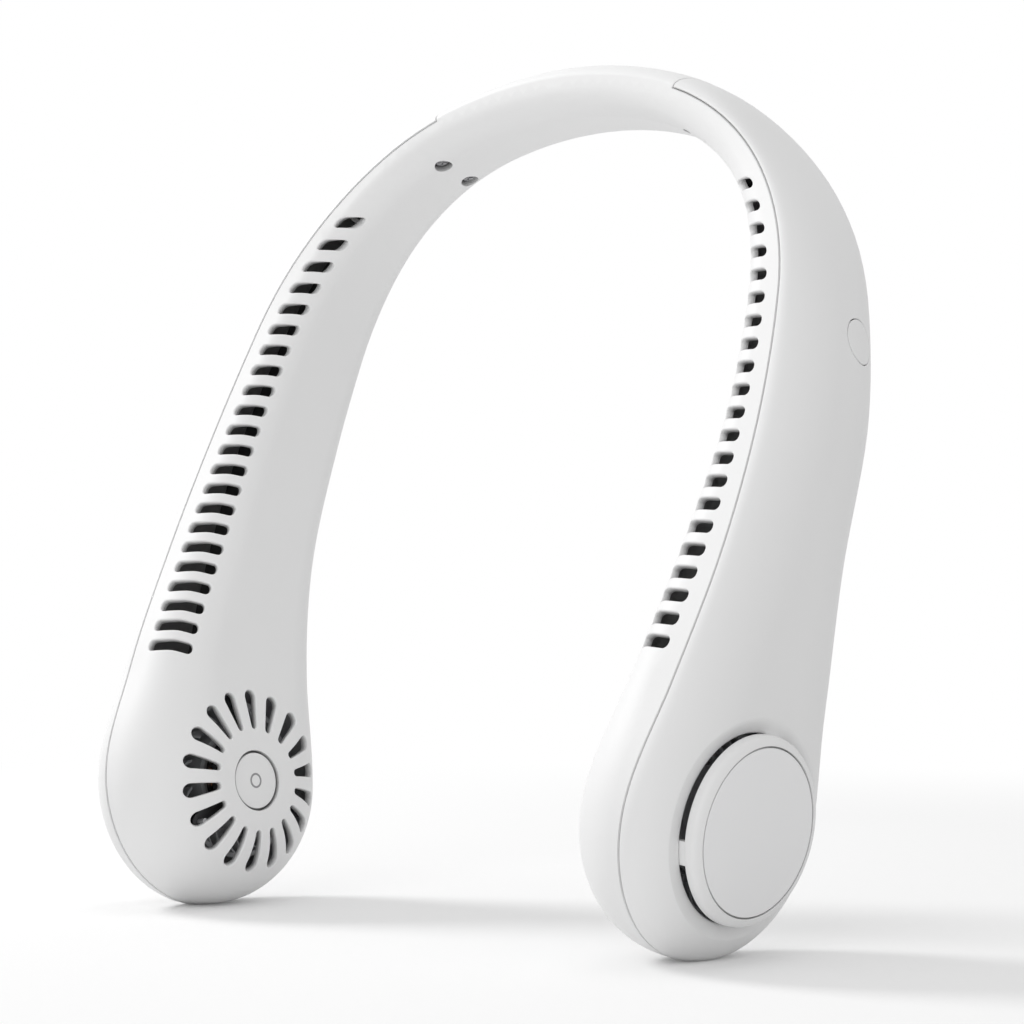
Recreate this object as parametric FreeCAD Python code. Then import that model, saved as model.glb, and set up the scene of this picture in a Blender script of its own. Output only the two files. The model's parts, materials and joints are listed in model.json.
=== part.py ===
import FreeCAD, Part
import math
import os
from FreeCAD import Matrix, Placement, Rotation, Vector

os.makedirs("parts", exist_ok=True)

# Bladeless neck fan standing on its two pods. X runs across the span, Y to the back of the band, Z up.
# The origin is on the floor, midway across the span and from front to back. Millimetres and degrees.

# Seam line of one arm from the front: a straight through the pod, then three tangent arcs to the crown.
toe_angle = 8.2
pod_straight = 24.7
side_radius = 305.0
side_turn = 18.5
shoulder_radius = 75.5
shoulder_turn = 63.3
crown_radius = 122.5
stand_lean = 8.2

# Casing
pod_radius = 31.7
wall = 1.8
rest_flat = 0.4
cover_end = 200.8
seam_land = 0.4

# Cross-sections along the seam line: front and back edge from the pod axis, depth inside and outside
# the seam, and the rounding of the inner and outer edges.
pod_section = dict(at=0.0, front=-pod_radius, back=pod_radius, inner=22.6, outer=11.3, inner_round=19.8,
                   outer_round=17.6)
wrist_section = dict(at=29.0, front=-23.95, back=29.1, inner=19.0, outer=9.3, inner_round=13.4,
                     outer_round=17.1)
low_section = dict(at=60.0, front=-13.45, back=28.6, inner=17.7, outer=8.6, inner_round=10.9,
                   outer_round=17.6)
middle_section = dict(at=97.0, front=-2.0, back=34.5, inner=14.2, outer=9.7, inner_round=8.6,
                      outer_round=15.6)
high_section = dict(at=133.0, front=7.45, back=38.9, inner=12.4, outer=6.6, inner_round=7.4,
                    outer_round=14.0)
shoulder_section = dict(at=169.0, front=14.5, back=42.2, inner=9.5, outer=3.4, inner_round=7.0,
                        outer_round=13.0)
band_section = dict(at=205.0, front=17.7, back=43.9, inner=8.7, outer=4.7, inner_round=7.0,
                    outer_round=11.4)
crown_section = dict(front=18.3, back=44.6, inner=8.6, outer=5.3, inner_round=7.0, outer_round=11.4)

# Level air slots round the front inner edge, from their heights above the pod axis
slot_width = 2.5
slot_pitch = 5.4
slot_pitch_growth = 0.8
slot_first_left = 34.1
slot_first_right = 37.9
slot_count_left = 22
slot_count_right = 21
slot_from_seam_low = 5.1
slot_from_seam_high = 3.6
slot_reach_low = 5.5
slot_reach_high = 3.3
slot_round = 1.1

# Round grille and badge on the inner face of the pod
grille_drop = 1.3
grille_count = 18
grille_inside = 13.3
grille_outside = 23.2
grille_wide = 3.2
grille_narrow = 1.2
badge_radius = 7.5
badge_thickness = 0.8
badge_gap = 0.15

# Raised cap over the intake on the outer face of the pod
intake_radius = 21.5
dish_radius = 24.0
dish_depth = 0.9
cap_top = 13.5
cap_rim = 10.2
cap_radius = 21.6
cap_top_radius = 19.8
cap_wall = 1.4
cap_disc_radius = 19.0
cap_disc_thickness = 1.0
cap_disc_gap = 0.12
leg_count = 3
leg_angle = 190.0
leg_width = 5.5
leg_thickness = 1.6
leg_gap = 0.1
foot_reach = 1.8
foot_thickness = 1.4
collar_width = 2.2
collar_thickness = 0.8

# Motor
plate_standoff = 3.2
plate_thickness = 1.5
plate_radius = 10.0
plate_arm_width = 4.4
boss_circle = 20.0
boss_radius = 1.9
boss_angle = 100.0
motor_screw_radius = 0.8
motor_screw_head_radius = 1.5
motor_screw_head = 1.0
motor_screw_length = 3.6
tube_radius = 3.5
tube_height = 11.0
bearing_radius = 2.5
bearing_height = 2.5
bearing_step = 0.5
shaft_radius = 1.0
shaft_gap = 0.05
stator_radius = 9.0
stator_height = 5.0
stator_lift = 3.0
pole_count = 6
pole_width = 2.2
pole_tip = 1.2
pole_tip_gap = 1.6
yoke = 2.0
coil_build = 1.1
coil_gap = 0.15
air_gap = 0.35
magnet_thickness = 1.1
magnet_overhang = 0.5
cup_wall = 0.8
cup_lift = 1.7
cup_clear = 0.8

# Impeller
hub_wall = 1.2
impeller_radius = 20.6
impeller_height = 17.0
blade_inside = 15.6
blade_count = 28
blade_thickness = 0.8
blade_sweep = 16.0
impeller_ring = 1.2

# Volute and duct wall
volute_start = 80.0
volute_turn = 285.0
volute_near = 23.4
volute_far = 28.2
guide_wall = 1.2
guide_gap = 0.3
duct_beyond = 7.0

# Battery
battery_at = 74.0
battery_length = 40.0
battery_width = 10.0
battery_thickness = 8.0
battery_round = 2.0
battery_low = -10.4
battery_gap = 1.0
cradle_width = 2.0
cradle_spread = 24.0

# Power button and its switch
button_at = 113.3
button_from_back = 11.0
button_radius = 5.3
button_gap = 0.3
button_bottom = 4.2
tab_reach = 1.0
tab_width = 4.0
tab_thickness = 1.0
button_travel = 0.5
switch_size = 6.0
switch_height = 2.2
plunger_radius = 1.6
plunger_out = 2.2
plunger_sunk = 0.8
plunger_gap = 0.3

# Control board and charging socket
board_length = 32.0
board_front = 4.4
board_screw_shift = -1.5
board_thickness = 1.2
board_edge_gap = 0.6
board_screw_spread = 25.0
board_post_radius = 2.0
board_screw_radius = 0.8
board_screw_head_radius = 1.5
board_screw_head = 0.9
board_screw_length = 4.0
socket_length = 9.0
socket_height = 3.2
socket_round = 1.3
socket_deep = 7.3
socket_wall = 0.35
socket_back = 1.0
socket_gap = 0.15
socket_set_back = 0.5
tongue_length = 6.6
tongue_height = 0.7
tongue_deep = 5.0

# Case screws, and the cable through the band
case_screw_at = 193.5
case_screw_front = 7.0
case_screw_back = 7.0
case_screw_radius = 1.0
case_screw_head_radius = 2.1
case_screw_head = 1.3
case_screw_sunk = 0.9
case_screw_length = 8.6
case_screw_cross = 0.5
case_screw_cross_reach = 1.3
case_screw_cross_depth = 0.7
counterbore_radius = 2.5
case_boss_radius = 3.1
harness_radius = 1.4
harness_gap = 0.3
harness_reach = 16.0

crown_turn = 90.0 + toe_angle - side_turn - shoulder_turn
bends = [(side_radius, side_turn), (shoulder_radius, shoulder_turn), (crown_radius, crown_turn)]
bend_ends = [pod_straight]
for radius, turn in bends:
    bend_ends.append(bend_ends[-1] + radius * math.radians(turn))
arm_length = bend_ends[-1]
crown_section["at"] = arm_length
sections = [pod_section, wrist_section, low_section, middle_section, high_section, shoulder_section,
            band_section, crown_section]


def seam_at(s):
    # place of the seam line from the pod axis, and its lean from upright
    lean = math.radians(toe_angle)
    straight = min(s, pod_straight)
    x = straight * math.sin(lean)
    z = straight * math.cos(lean)
    left = s - straight
    for radius, turn in bends:
        step = min(left, radius * math.radians(turn))
        turned_to = lean - step / radius
        x += radius * (math.cos(turned_to) - math.cos(lean))
        z += radius * (math.sin(lean) - math.sin(turned_to))
        lean = turned_to
        left -= step
    return x, z, lean


def slope(key, k):
    # rise of a size at one cross-section: level at both ends, a parabola's slope between
    if k in (0, len(sections) - 1):
        return 0.0
    before = sections[k]["at"] - sections[k - 1]["at"]
    after = sections[k + 1]["at"] - sections[k]["at"]
    rise_before = (sections[k][key] - sections[k - 1][key]) / before
    rise_after = (sections[k + 1][key] - sections[k][key]) / after
    return (rise_before * after + rise_after * before) / (before + after)


def size_at(key, s):
    # smooth curve of a size through the cross-sections
    s = min(max(s, 0.0), arm_length)
    k = max(i for i in range(len(sections) - 1) if sections[i]["at"] <= s)
    span = sections[k + 1]["at"] - sections[k]["at"]
    t = (s - sections[k]["at"]) / span
    start = sections[k][key] * (1 + 2 * t) * (1 - t) ** 2 + slope(key, k) * span * t * (1 - t) ** 2
    end = sections[k + 1][key] * t * t * (3 - 2 * t) + slope(key, k + 1) * span * t * t * (t - 1)
    return start + end


def middle_at(s):
    return (size_at("front", s) + size_at("back", s)) / 2


def edge_reach(section, angle):
    # reach of the back outer edge of a cross-section in a direction turned outwards by an angle
    flat = (section["back"] - section["outer_round"]) * math.cos(angle) + seam_land * math.sin(angle)
    rise = section["outer"] - seam_land
    return flat + math.hypot(section["outer_round"] * math.cos(angle), rise * math.sin(angle))


def level_at(radius, inset):
    # depth of the outer face of the pod at a radius from its axis
    flat = pod_radius - pod_section["outer_round"]
    share = max(0.0, radius - flat) / (pod_section["outer_round"] - inset)
    return seam_land + (pod_section["outer"] - inset - seam_land) * math.sqrt(1 - share * share)


lean_angle = math.radians(stand_lean)
tilt = math.asin(math.sin(math.radians(toe_angle)) * math.cos(lean_angle))
pod_drop = edge_reach(pod_section, tilt)
crown_x, crown_z, crown_lean = seam_at(arm_length)
back_reach = crown_z * math.sin(lean_angle) + edge_reach(crown_section, lean_angle)
stand = Placement(Vector(-crown_x, (pod_radius - back_reach) / 2, pod_drop - rest_flat),
                  Rotation(Vector(1, 0, 0), -stand_lean))
floor_depth = wall - pod_section["inner"]
cavity_end = cover_end - wall


def arm_point(s, y, depth):
    # point beside the seam line: y from the pod axis, depth outwards
    x, z, lean = seam_at(s)
    return stand.multVec(Vector(x + depth * math.cos(lean), y, z - depth * math.sin(lean)))


def frame_at(s, y, rise=0.0):
    # placement with X to the back, Y up the arm and Z outwards
    lean = seam_at(s)[2]
    outward = stand.Rotation.multVec(Vector(math.cos(lean), 0, -math.sin(lean)))
    along = stand.Rotation.multVec(Vector(math.sin(lean), rise, math.cos(lean)).normalize())
    back = along.cross(outward)
    place = arm_point(s, y, 0)
    return Placement(Matrix(back.x, along.x, outward.x, place.x, back.y, along.y, outward.y, place.y,
                            back.z, along.z, outward.z, place.z, 0, 0, 0, 1))


def rise_of(height_of, s):
    return (height_of(s + 1) - height_of(s - 1)) / 2


def placed(shape, frame):
    moved = shape.copy()
    moved.Placement = frame.multiply(moved.Placement)
    return moved


def mirrored(shape):
    return shape.mirror(Vector(0, 0, 0), Vector(1, 0, 0))


def turned(shape, angle):
    copy = shape.copy()
    copy.rotate(Vector(0, 0, 0), Vector(0, 0, 1), angle)
    return copy


def cylinder(radius, low, high, x=0.0, y=0.0):
    return Part.makeCylinder(radius, high - low, Vector(x, y, low))


def ring(outside, inside, low, high):
    return cylinder(outside, low, high).cut(cylinder(inside, low - 1, high + 1))


def box(x0, x1, y0, y1, z0, z1):
    return Part.makeBox(x1 - x0, y1 - y0, z1 - z0, Vector(x0, y0, z0))


def spun(points):
    # solid of revolution round Z from (radius, height) points
    corners = [Vector(r, 0, z) for r, z in points]
    return Part.Face(Part.makePolygon(corners + corners[:1])).revolve(Vector(0, 0, 0), Vector(0, 0, 1), 360)


def bend(start, corner, end):
    # quarter of an ellipse between two straights that meet at a corner
    pull = 0.5523
    curve = Part.BezierCurve()
    curve.setPoles([start, start + (corner - start) * pull, end + (corner - end) * pull, end])
    return curve.toShape()


def outline_points(s, inset):
    # corner points of a cross-section, from the front edge inwards and round to the front seam
    front = size_at("front", s) + inset
    back = size_at("back", s) - inset
    inner = size_at("inner", s) - inset
    outer = size_at("outer", s) - inset
    inner_round = size_at("inner_round", s) - inset
    outer_round = size_at("outer_round", s) - inset
    flat = [(front, inner_round - inner), (front, -inner), (front + inner_round, -inner),
            (back - inner_round, -inner), (back, -inner), (back, inner_round - inner),
            (back, seam_land), (back, outer), (back - outer_round, outer),
            (front + outer_round, outer), (front, outer), (front, seam_land)]
    return [arm_point(s, y, depth) for y, depth in flat]


def outline_wire(s, inset):
    p = outline_points(s, inset)
    return Part.Wire([Part.makeLine(p[11], p[0]), bend(p[0], p[1], p[2]), Part.makeLine(p[2], p[3]),
                      bend(p[3], p[4], p[5]), Part.makeLine(p[5], p[6]), bend(p[6], p[7], p[8]),
                      Part.makeLine(p[8], p[9]), bend(p[9], p[10], p[11])])


def arm_solid(inset, end):
    # lofted arm above the pod axis, with the turned half pod below it
    steps = 24
    loft = Part.makeLoft([outline_wire(end * k / steps, inset) for k in range(steps + 1)], True)
    p = outline_points(0.0, inset)
    inside = arm_point(0, 0, inset - pod_section["inner"])
    outside = arm_point(0, 0, pod_section["outer"] - inset)
    half = Part.Wire([Part.makeLine(inside, p[3]), bend(p[3], p[4], p[5]), Part.makeLine(p[5], p[6]),
                      bend(p[6], p[7], p[8]), Part.makeLine(p[8], outside), Part.makeLine(outside, inside)])
    pod = Part.Face(half).revolve(inside, inside - outside, 180)
    return loft.fuse(pod)


def outside_the_seam():
    # everything outside the seam line, up to the end of the cover
    reach = 150.0
    low = -pod_radius - 8
    stops = [low] + [end for end in bend_ends if end < cover_end] + [cover_end]
    edges = []
    for start, end in zip(stops, stops[1:]):
        a, m, b = [arm_point(s, -reach, 0) for s in (start, (start + end) / 2, end)]
        edges.append(Part.makeLine(a, b) if start == low else Part.Arc(a, m, b).toShape())
    corners = [arm_point(cover_end, -reach, depth) for depth in (0, 40)]
    corners += [arm_point(cover_end, -reach, 40) + Vector(reach, 0, 0)]
    corners += [arm_point(low, -reach, 0) + Vector(2 * reach, 0, 0), arm_point(low, -reach, 0)]
    edges += [Part.makeLine(a, b) for a, b in zip(corners, corners[1:])]
    return Part.Face(Part.Wire(edges)).extrude(stand.Rotation.multVec(Vector(0, 2 * reach, 0)))


def slot_places(first, count):
    # heights of the slots, a little further apart towards the top
    heights = [first]
    while len(heights) < count:
        heights.append(heights[-1] + slot_pitch + slot_pitch_growth * (len(heights) / (count - 1)) ** 2)
    return heights


def seam_place(height):
    # where the seam line reaches a height above the pod axis
    low, high = 0.0, arm_length
    for _ in range(40):
        middle = (low + high) / 2
        low, high = (middle, high) if seam_at(middle)[1] < height else (low, middle)
    return low


def slot_cutter(height, share):
    # level slot that wraps from the front edge on to the inner face, with rounded ends
    s = seam_place(height)
    front = size_at("front", s)
    reach = slot_reach_low + (slot_reach_high - slot_reach_low) * share
    start = slot_from_seam_low + (slot_from_seam_high - slot_from_seam_low) * share
    low, high = height - slot_width / 2, height + slot_width / 2
    level = box(-200, 200, front - 8, front + reach, low, high)
    ends = [e for e in level.Edges if e.CenterOfMass.y > front + reach - 0.01 and len(e.Vertexes) == 2
            and abs(e.tangentAt(e.FirstParameter).x) > 0.9]
    level = placed(level.makeFillet(slot_round, ends), stand)
    frame = frame_at(s, front)
    limit = frame.multVec(Vector(0, 0, -start))
    outward = frame.Rotation.multVec(Vector(0, 0, 1))
    backward = frame.Rotation.multVec(Vector(1, 0, 0))
    side = placed(box(-7, reach + 7, -30, 30, -size_at("inner", s) - 6, -start), frame)
    side = side.common(placed(box(-200, 200, front - 20, front + 40, low, high), stand))
    ends = [e for e in side.Edges if abs((e.CenterOfMass - limit).dot(outward)) < 0.01
            and abs(e.tangentAt(e.FirstParameter).dot(backward)) > 0.9]
    return side.makeFillet(slot_round, ends).common(level)


def slots(first, count):
    return [slot_cutter(height, k / (count - 1)) for k, height in enumerate(slot_places(first, count))]


def teardrop(angle):
    # grille opening: wide round end outwards, narrow round end inwards
    wide = grille_wide / 2
    narrow = grille_narrow / 2
    a = Vector(grille_inside + narrow, narrow, 0)
    b = Vector(grille_outside - wide, wide, 0)
    c = Vector(grille_outside - wide, -wide, 0)
    d = Vector(grille_inside + narrow, -narrow, 0)
    edges = [Part.makeLine(a, b), Part.Arc(b, Vector(grille_outside, 0, 0), c).toShape(), Part.makeLine(c, d),
             Part.Arc(d, Vector(grille_inside, 0, 0), a).toShape()]
    drop = Part.Face(Part.Wire(edges)).extrude(Vector(0, 0, 11))
    drop.translate(Vector(0, 0, -pod_section["inner"] - 2))
    return turned(drop, angle)


def on_circle(shape, radius, count, first):
    return [turned(shape.translated(Vector(radius, 0, 0)), first + 360.0 * k / count) for k in range(count)]


plate_low = floor_depth + plate_standoff
plate_top = plate_low + plate_thickness
tube_top = plate_top + tube_height
stator_low = plate_top + stator_lift
stator_top = stator_low + stator_height
magnet_inside = stator_radius + air_gap
cup_inside = magnet_inside + magnet_thickness
cup_radius = cup_inside + cup_wall
cup_low = plate_top + cup_lift
cup_top = tube_top + cup_clear + cup_wall
motor_screw_end = plate_top - motor_screw_length
foot_top = level_at(intake_radius, wall) - collar_thickness
pod_frame = frame_at(0.0, 0.0)
grille_frame = frame_at(-grille_drop, 0.0)


def motor_plate():
    arm = box(0, boss_circle, -plate_arm_width / 2, plate_arm_width / 2, plate_low, plate_top)
    arm = arm.fuse(cylinder(plate_arm_width / 2, plate_low, plate_top, boss_circle))
    plate = cylinder(plate_radius, plate_low, plate_top).fuse(on_circle(arm, 0, 3, boss_angle))
    plate = plate.fuse(cylinder(tube_radius, plate_top, tube_top))
    holes = on_circle(cylinder(motor_screw_radius, plate_low - 1, plate_top + 1), boss_circle, 3, boss_angle)
    holes.append(cylinder(bearing_radius - bearing_step, plate_low - 1, tube_top + 1))
    holes += [cylinder(bearing_radius, plate_low - 1, plate_low + bearing_height),
              cylinder(bearing_radius, tube_top - bearing_height, tube_top + 1)]
    return plate.cut(holes)


def motor_bearings():
    bore = shaft_radius + shaft_gap
    return Part.makeCompound([ring(bearing_radius, bore, plate_low, plate_low + bearing_height),
                              ring(bearing_radius, bore, tube_top - bearing_height, tube_top)])


def motor_screws():
    screw = cylinder(motor_screw_radius, motor_screw_end, plate_top)
    screw = screw.fuse(cylinder(motor_screw_head_radius, plate_top, plate_top + motor_screw_head))
    return Part.makeCompound(on_circle(screw, boss_circle, 3, boss_angle))


def stator_core():
    core = ring(tube_radius + yoke, tube_radius, stator_low, stator_top)
    pole = box(tube_radius + yoke / 2, stator_radius - pole_tip / 2, -pole_width / 2, pole_width / 2,
               stator_low, stator_top)
    gap = box(0, stator_radius + 1, -pole_tip_gap / 2, pole_tip_gap / 2, stator_low - 1, stator_top + 1)
    tips = ring(stator_radius, stator_radius - pole_tip, stator_low, stator_top)
    tips = tips.cut(on_circle(gap, 0, pole_count, 180.0 / pole_count))
    return core.fuse(on_circle(pole, 0, pole_count, 0)).fuse(tips)


def stator_coils():
    half = pole_width / 2
    inside = tube_radius + yoke + coil_gap
    outside = math.sqrt((stator_radius - pole_tip - coil_gap) ** 2 - (half + coil_build) ** 2)
    coil = box(inside, outside, -half - coil_build, half + coil_build, stator_low - coil_build,
               stator_top + coil_build)
    coil = coil.cut(box(inside - 1, outside + 1, -half, half, stator_low, stator_top))
    return Part.makeCompound(on_circle(coil, 0, pole_count, 0))


def rotor_cup():
    return spun([(shaft_radius, cup_top - cup_wall), (cup_inside, cup_top - cup_wall), (cup_inside, cup_low),
                 (cup_radius, cup_low), (cup_radius, cup_top), (shaft_radius, cup_top)])


def rotor_magnet():
    return ring(cup_inside, magnet_inside, stator_low - magnet_overhang, stator_top + magnet_overhang)


def motor_shaft():
    return cylinder(shaft_radius, plate_low + shaft_gap, cup_top)


def blade():
    # curved blade between two circles, leading at its tip
    def at(radius, angle):
        a = math.radians(angle)
        return Vector(radius * math.cos(a), radius * math.sin(a), cup_low)

    tip = impeller_radius - impeller_ring / 2
    halfway = (blade_inside + tip) / 2
    bow = 0.35 * blade_sweep
    step = math.degrees(blade_thickness / halfway)
    near = [at(blade_inside, 0), at(halfway, bow), at(tip, blade_sweep)]
    far = [at(tip, blade_sweep + step), at(halfway, bow + step), at(blade_inside, step)]
    edges = [Part.Arc(*near).toShape(), Part.makeLine(near[2], far[0]), Part.Arc(*far).toShape(),
             Part.makeLine(far[2], near[0])]
    return Part.Face(Part.Wire(edges)).extrude(Vector(0, 0, impeller_height))


def impeller():
    hub = cup_radius + hub_wall
    high = cup_low + impeller_height
    web = cup_low + impeller_height / 2
    wheel = ring(hub, cup_radius, cup_low, cup_top).fuse(cylinder(hub, cup_top, cup_top + hub_wall))
    rings = [ring(impeller_radius, impeller_radius - impeller_ring, cup_low, cup_low + impeller_ring),
             ring(impeller_radius, impeller_radius - impeller_ring, high - impeller_ring, high),
             ring(impeller_radius - impeller_ring / 2, cup_radius, web, web + hub_wall)]
    return wheel.fuse(rings + on_circle(blade(), 0, blade_count, 0))


def volute():
    # scroll wall that opens from the tongue round the impeller, fitted between frame and cover
    def spiral(extra):
        points = []
        for k in range(13):
            angle = math.radians(volute_start - volute_turn * k / 12)
            radius = volute_near + (volute_far - volute_near) * k / 12 + extra
            points.append(Vector(radius * math.cos(angle), radius * math.sin(angle), -pod_section["inner"]))
        curve = Part.BSplineCurve()
        curve.interpolate(points)
        return curve.toShape(), points

    near, near_points = spiral(0)
    far, far_points = spiral(guide_wall)
    ends = [Part.makeLine(near_points[k], far_points[k]) for k in (0, -1)]
    top = foot_top - foot_thickness - guide_gap
    wall_face = Part.Face(Part.Wire(Part.__sortEdges__([near, far] + ends)))
    strip = wall_face.extrude(Vector(0, 0, pod_section["inner"] + top))
    return placed(strip, pod_frame).common(cavity)


def duct_wall():
    # wall along the middle of the arm that closes over above the last slot
    low = volute_near + guide_wall + guide_gap
    high = seam_place(slot_places(slot_first_left, slot_count_left)[-1]) + duct_beyond
    steps = 8
    wires = []
    for k in range(steps + 1):
        s = low + (high - low) * k / steps
        y = middle_at(s)
        corners = [arm_point(s, y - guide_wall, -30), arm_point(s, y - guide_wall, 20), arm_point(s, y, 20),
                   arm_point(s, y, -30)]
        wires.append(Part.makePolygon(corners + corners[:1]))
    long_wall = Part.makeLoft(wires, True)
    end_wall = placed(box(-40, 0, -guide_wall, 0, -30, 20), frame_at(high, middle_at(high)))
    return long_wall.fuse(end_wall).common(cavity)


def intake_cap():
    # hollow cap whose rim stands clear of the cover, on legs with feet under the cover's collar
    face = cap_top - cap_disc_thickness
    pocket = cap_disc_radius + cap_disc_gap
    inside = cap_radius - cap_wall
    cap = spun([(0, face - cap_wall), (inside, face - cap_wall), (inside, cap_rim), (cap_radius, cap_rim),
                (cap_radius, cap_rim + cap_wall), (cap_top_radius, cap_top), (pocket, cap_top), (pocket, face),
                (0, face)])
    outside = intake_radius - leg_gap
    foot_low = foot_top - foot_thickness
    leg = ring(outside, outside - leg_thickness, foot_low, face - cap_wall / 2)
    leg = leg.common(box(0, 2 * cap_radius, -leg_width / 2, leg_width / 2, foot_low, cap_top))
    foot = box(outside - leg_thickness, intake_radius + foot_reach, -leg_width / 2, leg_width / 2,
               foot_low, foot_top)
    return cap.fuse(on_circle(leg.fuse(foot), 0, leg_count, leg_angle))


def cap_disc():
    return cylinder(cap_disc_radius, cap_top - cap_disc_thickness, cap_top)


def grille_badge():
    return cylinder(badge_radius, -pod_section["inner"], badge_thickness - pod_section["inner"])


screw_floor = case_screw_sunk + case_screw_head - size_at("inner", case_screw_at)
screw_end = screw_floor + case_screw_length
screw_rows = [size_at("front", case_screw_at) + case_screw_front, size_at("back", case_screw_at) - case_screw_back]
screw_frames = [frame_at(case_screw_at, y) for y in screw_rows]


def case_screw():
    # pan head with a cross recess, and a plain shank
    top = screw_floor - case_screw_head
    head = cylinder(case_screw_head_radius, top, screw_floor)
    half = case_screw_cross / 2
    for x, y in ((half, case_screw_cross_reach), (case_screw_cross_reach, half)):
        head = head.cut(box(-x, x, -y, y, top - 1, top + case_screw_cross_depth))
    return head.fuse(cylinder(case_screw_radius, screw_floor, screw_end))


def battery_frame():
    y = middle_at(battery_at) + battery_gap + battery_width / 2
    return frame_at(battery_at, y, rise_of(middle_at, battery_at))


def battery():
    half = battery_width / 2
    cell = box(-half, half, -battery_length / 2, battery_length / 2, battery_low, battery_low + battery_thickness)
    long_edges = [e for e in cell.Edges if abs(e.tangentAt(e.FirstParameter).y) > 0.9]
    return cell.makeFillet(battery_round, long_edges)


def battery_cradle():
    half = battery_width / 2 - battery_round
    return [box(-half, half, y - cradle_width / 2, y + cradle_width / 2, -40, battery_low)
            for y in (-cradle_spread / 2, cradle_spread / 2)]


def back_at(s):
    return size_at("back", s)


button_frame = frame_at(button_at, back_at(button_at) - button_from_back, rise_of(back_at, button_at))
button_to_back = button_from_back * math.cos(math.atan(rise_of(back_at, button_at)))
switch_top = button_bottom - plunger_out
board_top = switch_top - switch_height
board_low = board_top - board_thickness
board_back = button_to_back - wall - board_edge_gap
socket_mouth = button_to_back - socket_set_back
board_screw_places = [-board_screw_spread / 2, board_screw_spread / 2]


def power_button():
    # round button flush with the cover, with two tabs that keep it in
    button = placed(cylinder(button_radius, button_bottom, 20), button_frame).common(casing)
    half = tab_width / 2
    reach = button_radius + tab_reach
    tabs = box(-half, half, -reach, reach, button_bottom, button_bottom + tab_thickness)
    return button.fuse(placed(tabs, button_frame))


def tactile_switch():
    half = switch_size / 2
    body = box(-half, half, -half, half, board_top, switch_top)
    deep = switch_top - plunger_sunk - button_travel - plunger_gap
    return body.cut(cylinder(plunger_radius + plunger_gap, deep, switch_top + 1))


def switch_plunger():
    return cylinder(plunger_radius, switch_top - plunger_sunk, button_bottom)


def control_board():
    board = box(-board_front, board_back, -board_length / 2, board_length / 2, board_low, board_top)
    holes = [cylinder(board_screw_radius, board_low - 1, board_top + 1, board_screw_shift, y)
             for y in board_screw_places]
    return board.cut(holes)


def board_screw(y):
    shank = cylinder(board_screw_radius, board_top - board_screw_length, board_top, board_screw_shift, y)
    return shank.fuse(cylinder(board_screw_head_radius, board_top, board_top + board_screw_head,
                               board_screw_shift, y))


def socket_block(grow, near, far):
    # rounded block across the mouth of the socket
    long = socket_length / 2 + grow
    block = box(near, far, -long, long, board_low - socket_height - grow, board_low + grow)
    edges = [e for e in block.Edges if abs(e.tangentAt(e.FirstParameter).x) > 0.9]
    return block.makeFillet(socket_round + grow, edges)


def charging_socket():
    # shell open at its mouth, with the contact tongue inside
    back_end = socket_mouth - socket_deep
    sleeve = socket_block(0, back_end, socket_mouth)
    sleeve = sleeve.cut(socket_block(-socket_wall, back_end + socket_back, socket_mouth + 1))
    middle = board_low - socket_height / 2
    half = tongue_height / 2
    tongue = box(back_end + socket_back / 2, back_end + socket_back + tongue_deep, -tongue_length / 2,
                 tongue_length / 2, middle - half, middle + half)
    return sleeve.fuse(tongue)


def harness_run(radius, start):
    # cable or its channel along the band, from inside one arm to the crown
    depth = (crown_section["outer"] - crown_section["inner"]) / 2
    y = middle_at(arm_length)
    stops = [start] + [end for end in bend_ends if end > start]
    edges = []
    for low, high in zip(stops, stops[1:]):
        edges.append(Part.Arc(*[arm_point(s, y, depth) for s in (low, (low + high) / 2, high)]).toShape())
    first = edges[0]
    circle = Part.Circle(first.Vertexes[0].Point, first.tangentAt(first.FirstParameter), radius).toShape()
    return Part.Wire(edges).makePipeShell([Part.Wire(circle)], True, True)


def frame_half(first, count):
    # half of the inner frame: slots, grille, badge seat, motor bosses, screw seats and cable channel
    half = shell.cut(beyond_seam)
    posts = on_circle(cylinder(boss_radius, -40, plate_low), boss_circle, 3, boss_angle)
    posts = [placed(post, pod_frame) for post in posts]
    posts += [placed(cylinder(case_boss_radius, -40, 0), frame) for frame in screw_frames]
    posts += [placed(rib, battery_frame()) for rib in battery_cradle()]
    half = half.fuse([post.common(casing) for post in posts])
    cutters = slots(first, count)
    cutters += [placed(teardrop(90 + 360.0 * k / grille_count), grille_frame) for k in range(grille_count)]
    seat = cylinder(badge_radius + badge_gap, -40, badge_thickness - pod_section["inner"])
    cutters.append(placed(seat, grille_frame))
    pilots = on_circle(cylinder(motor_screw_radius, motor_screw_end, plate_low + 1), boss_circle, 3, boss_angle)
    cutters += [placed(pilot, pod_frame) for pilot in pilots]
    for frame in screw_frames:
        cutters.append(placed(cylinder(counterbore_radius, -40, screw_floor), frame))
        cutters.append(placed(cylinder(case_screw_radius, -40, 1), frame))
    cutters.append(harness_run(harness_radius + harness_gap, cavity_end - wall))
    return half.cut(cutters)


def with_board_seats(half):
    # posts for the control board and the opening for the charging socket
    posts = [cylinder(board_post_radius, -40, board_low, board_screw_shift, y) for y in board_screw_places]
    posts = [placed(post, button_frame).common(casing) for post in posts]
    screw_low = board_top - board_screw_length
    cutters = [cylinder(board_screw_radius, screw_low, board_low + 1, board_screw_shift, y)
               for y in board_screw_places]
    cutters.append(socket_block(socket_gap, socket_mouth - socket_deep - socket_gap, button_to_back + 5))
    return half.fuse(posts).cut([placed(cutter, button_frame) for cutter in cutters])


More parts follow.
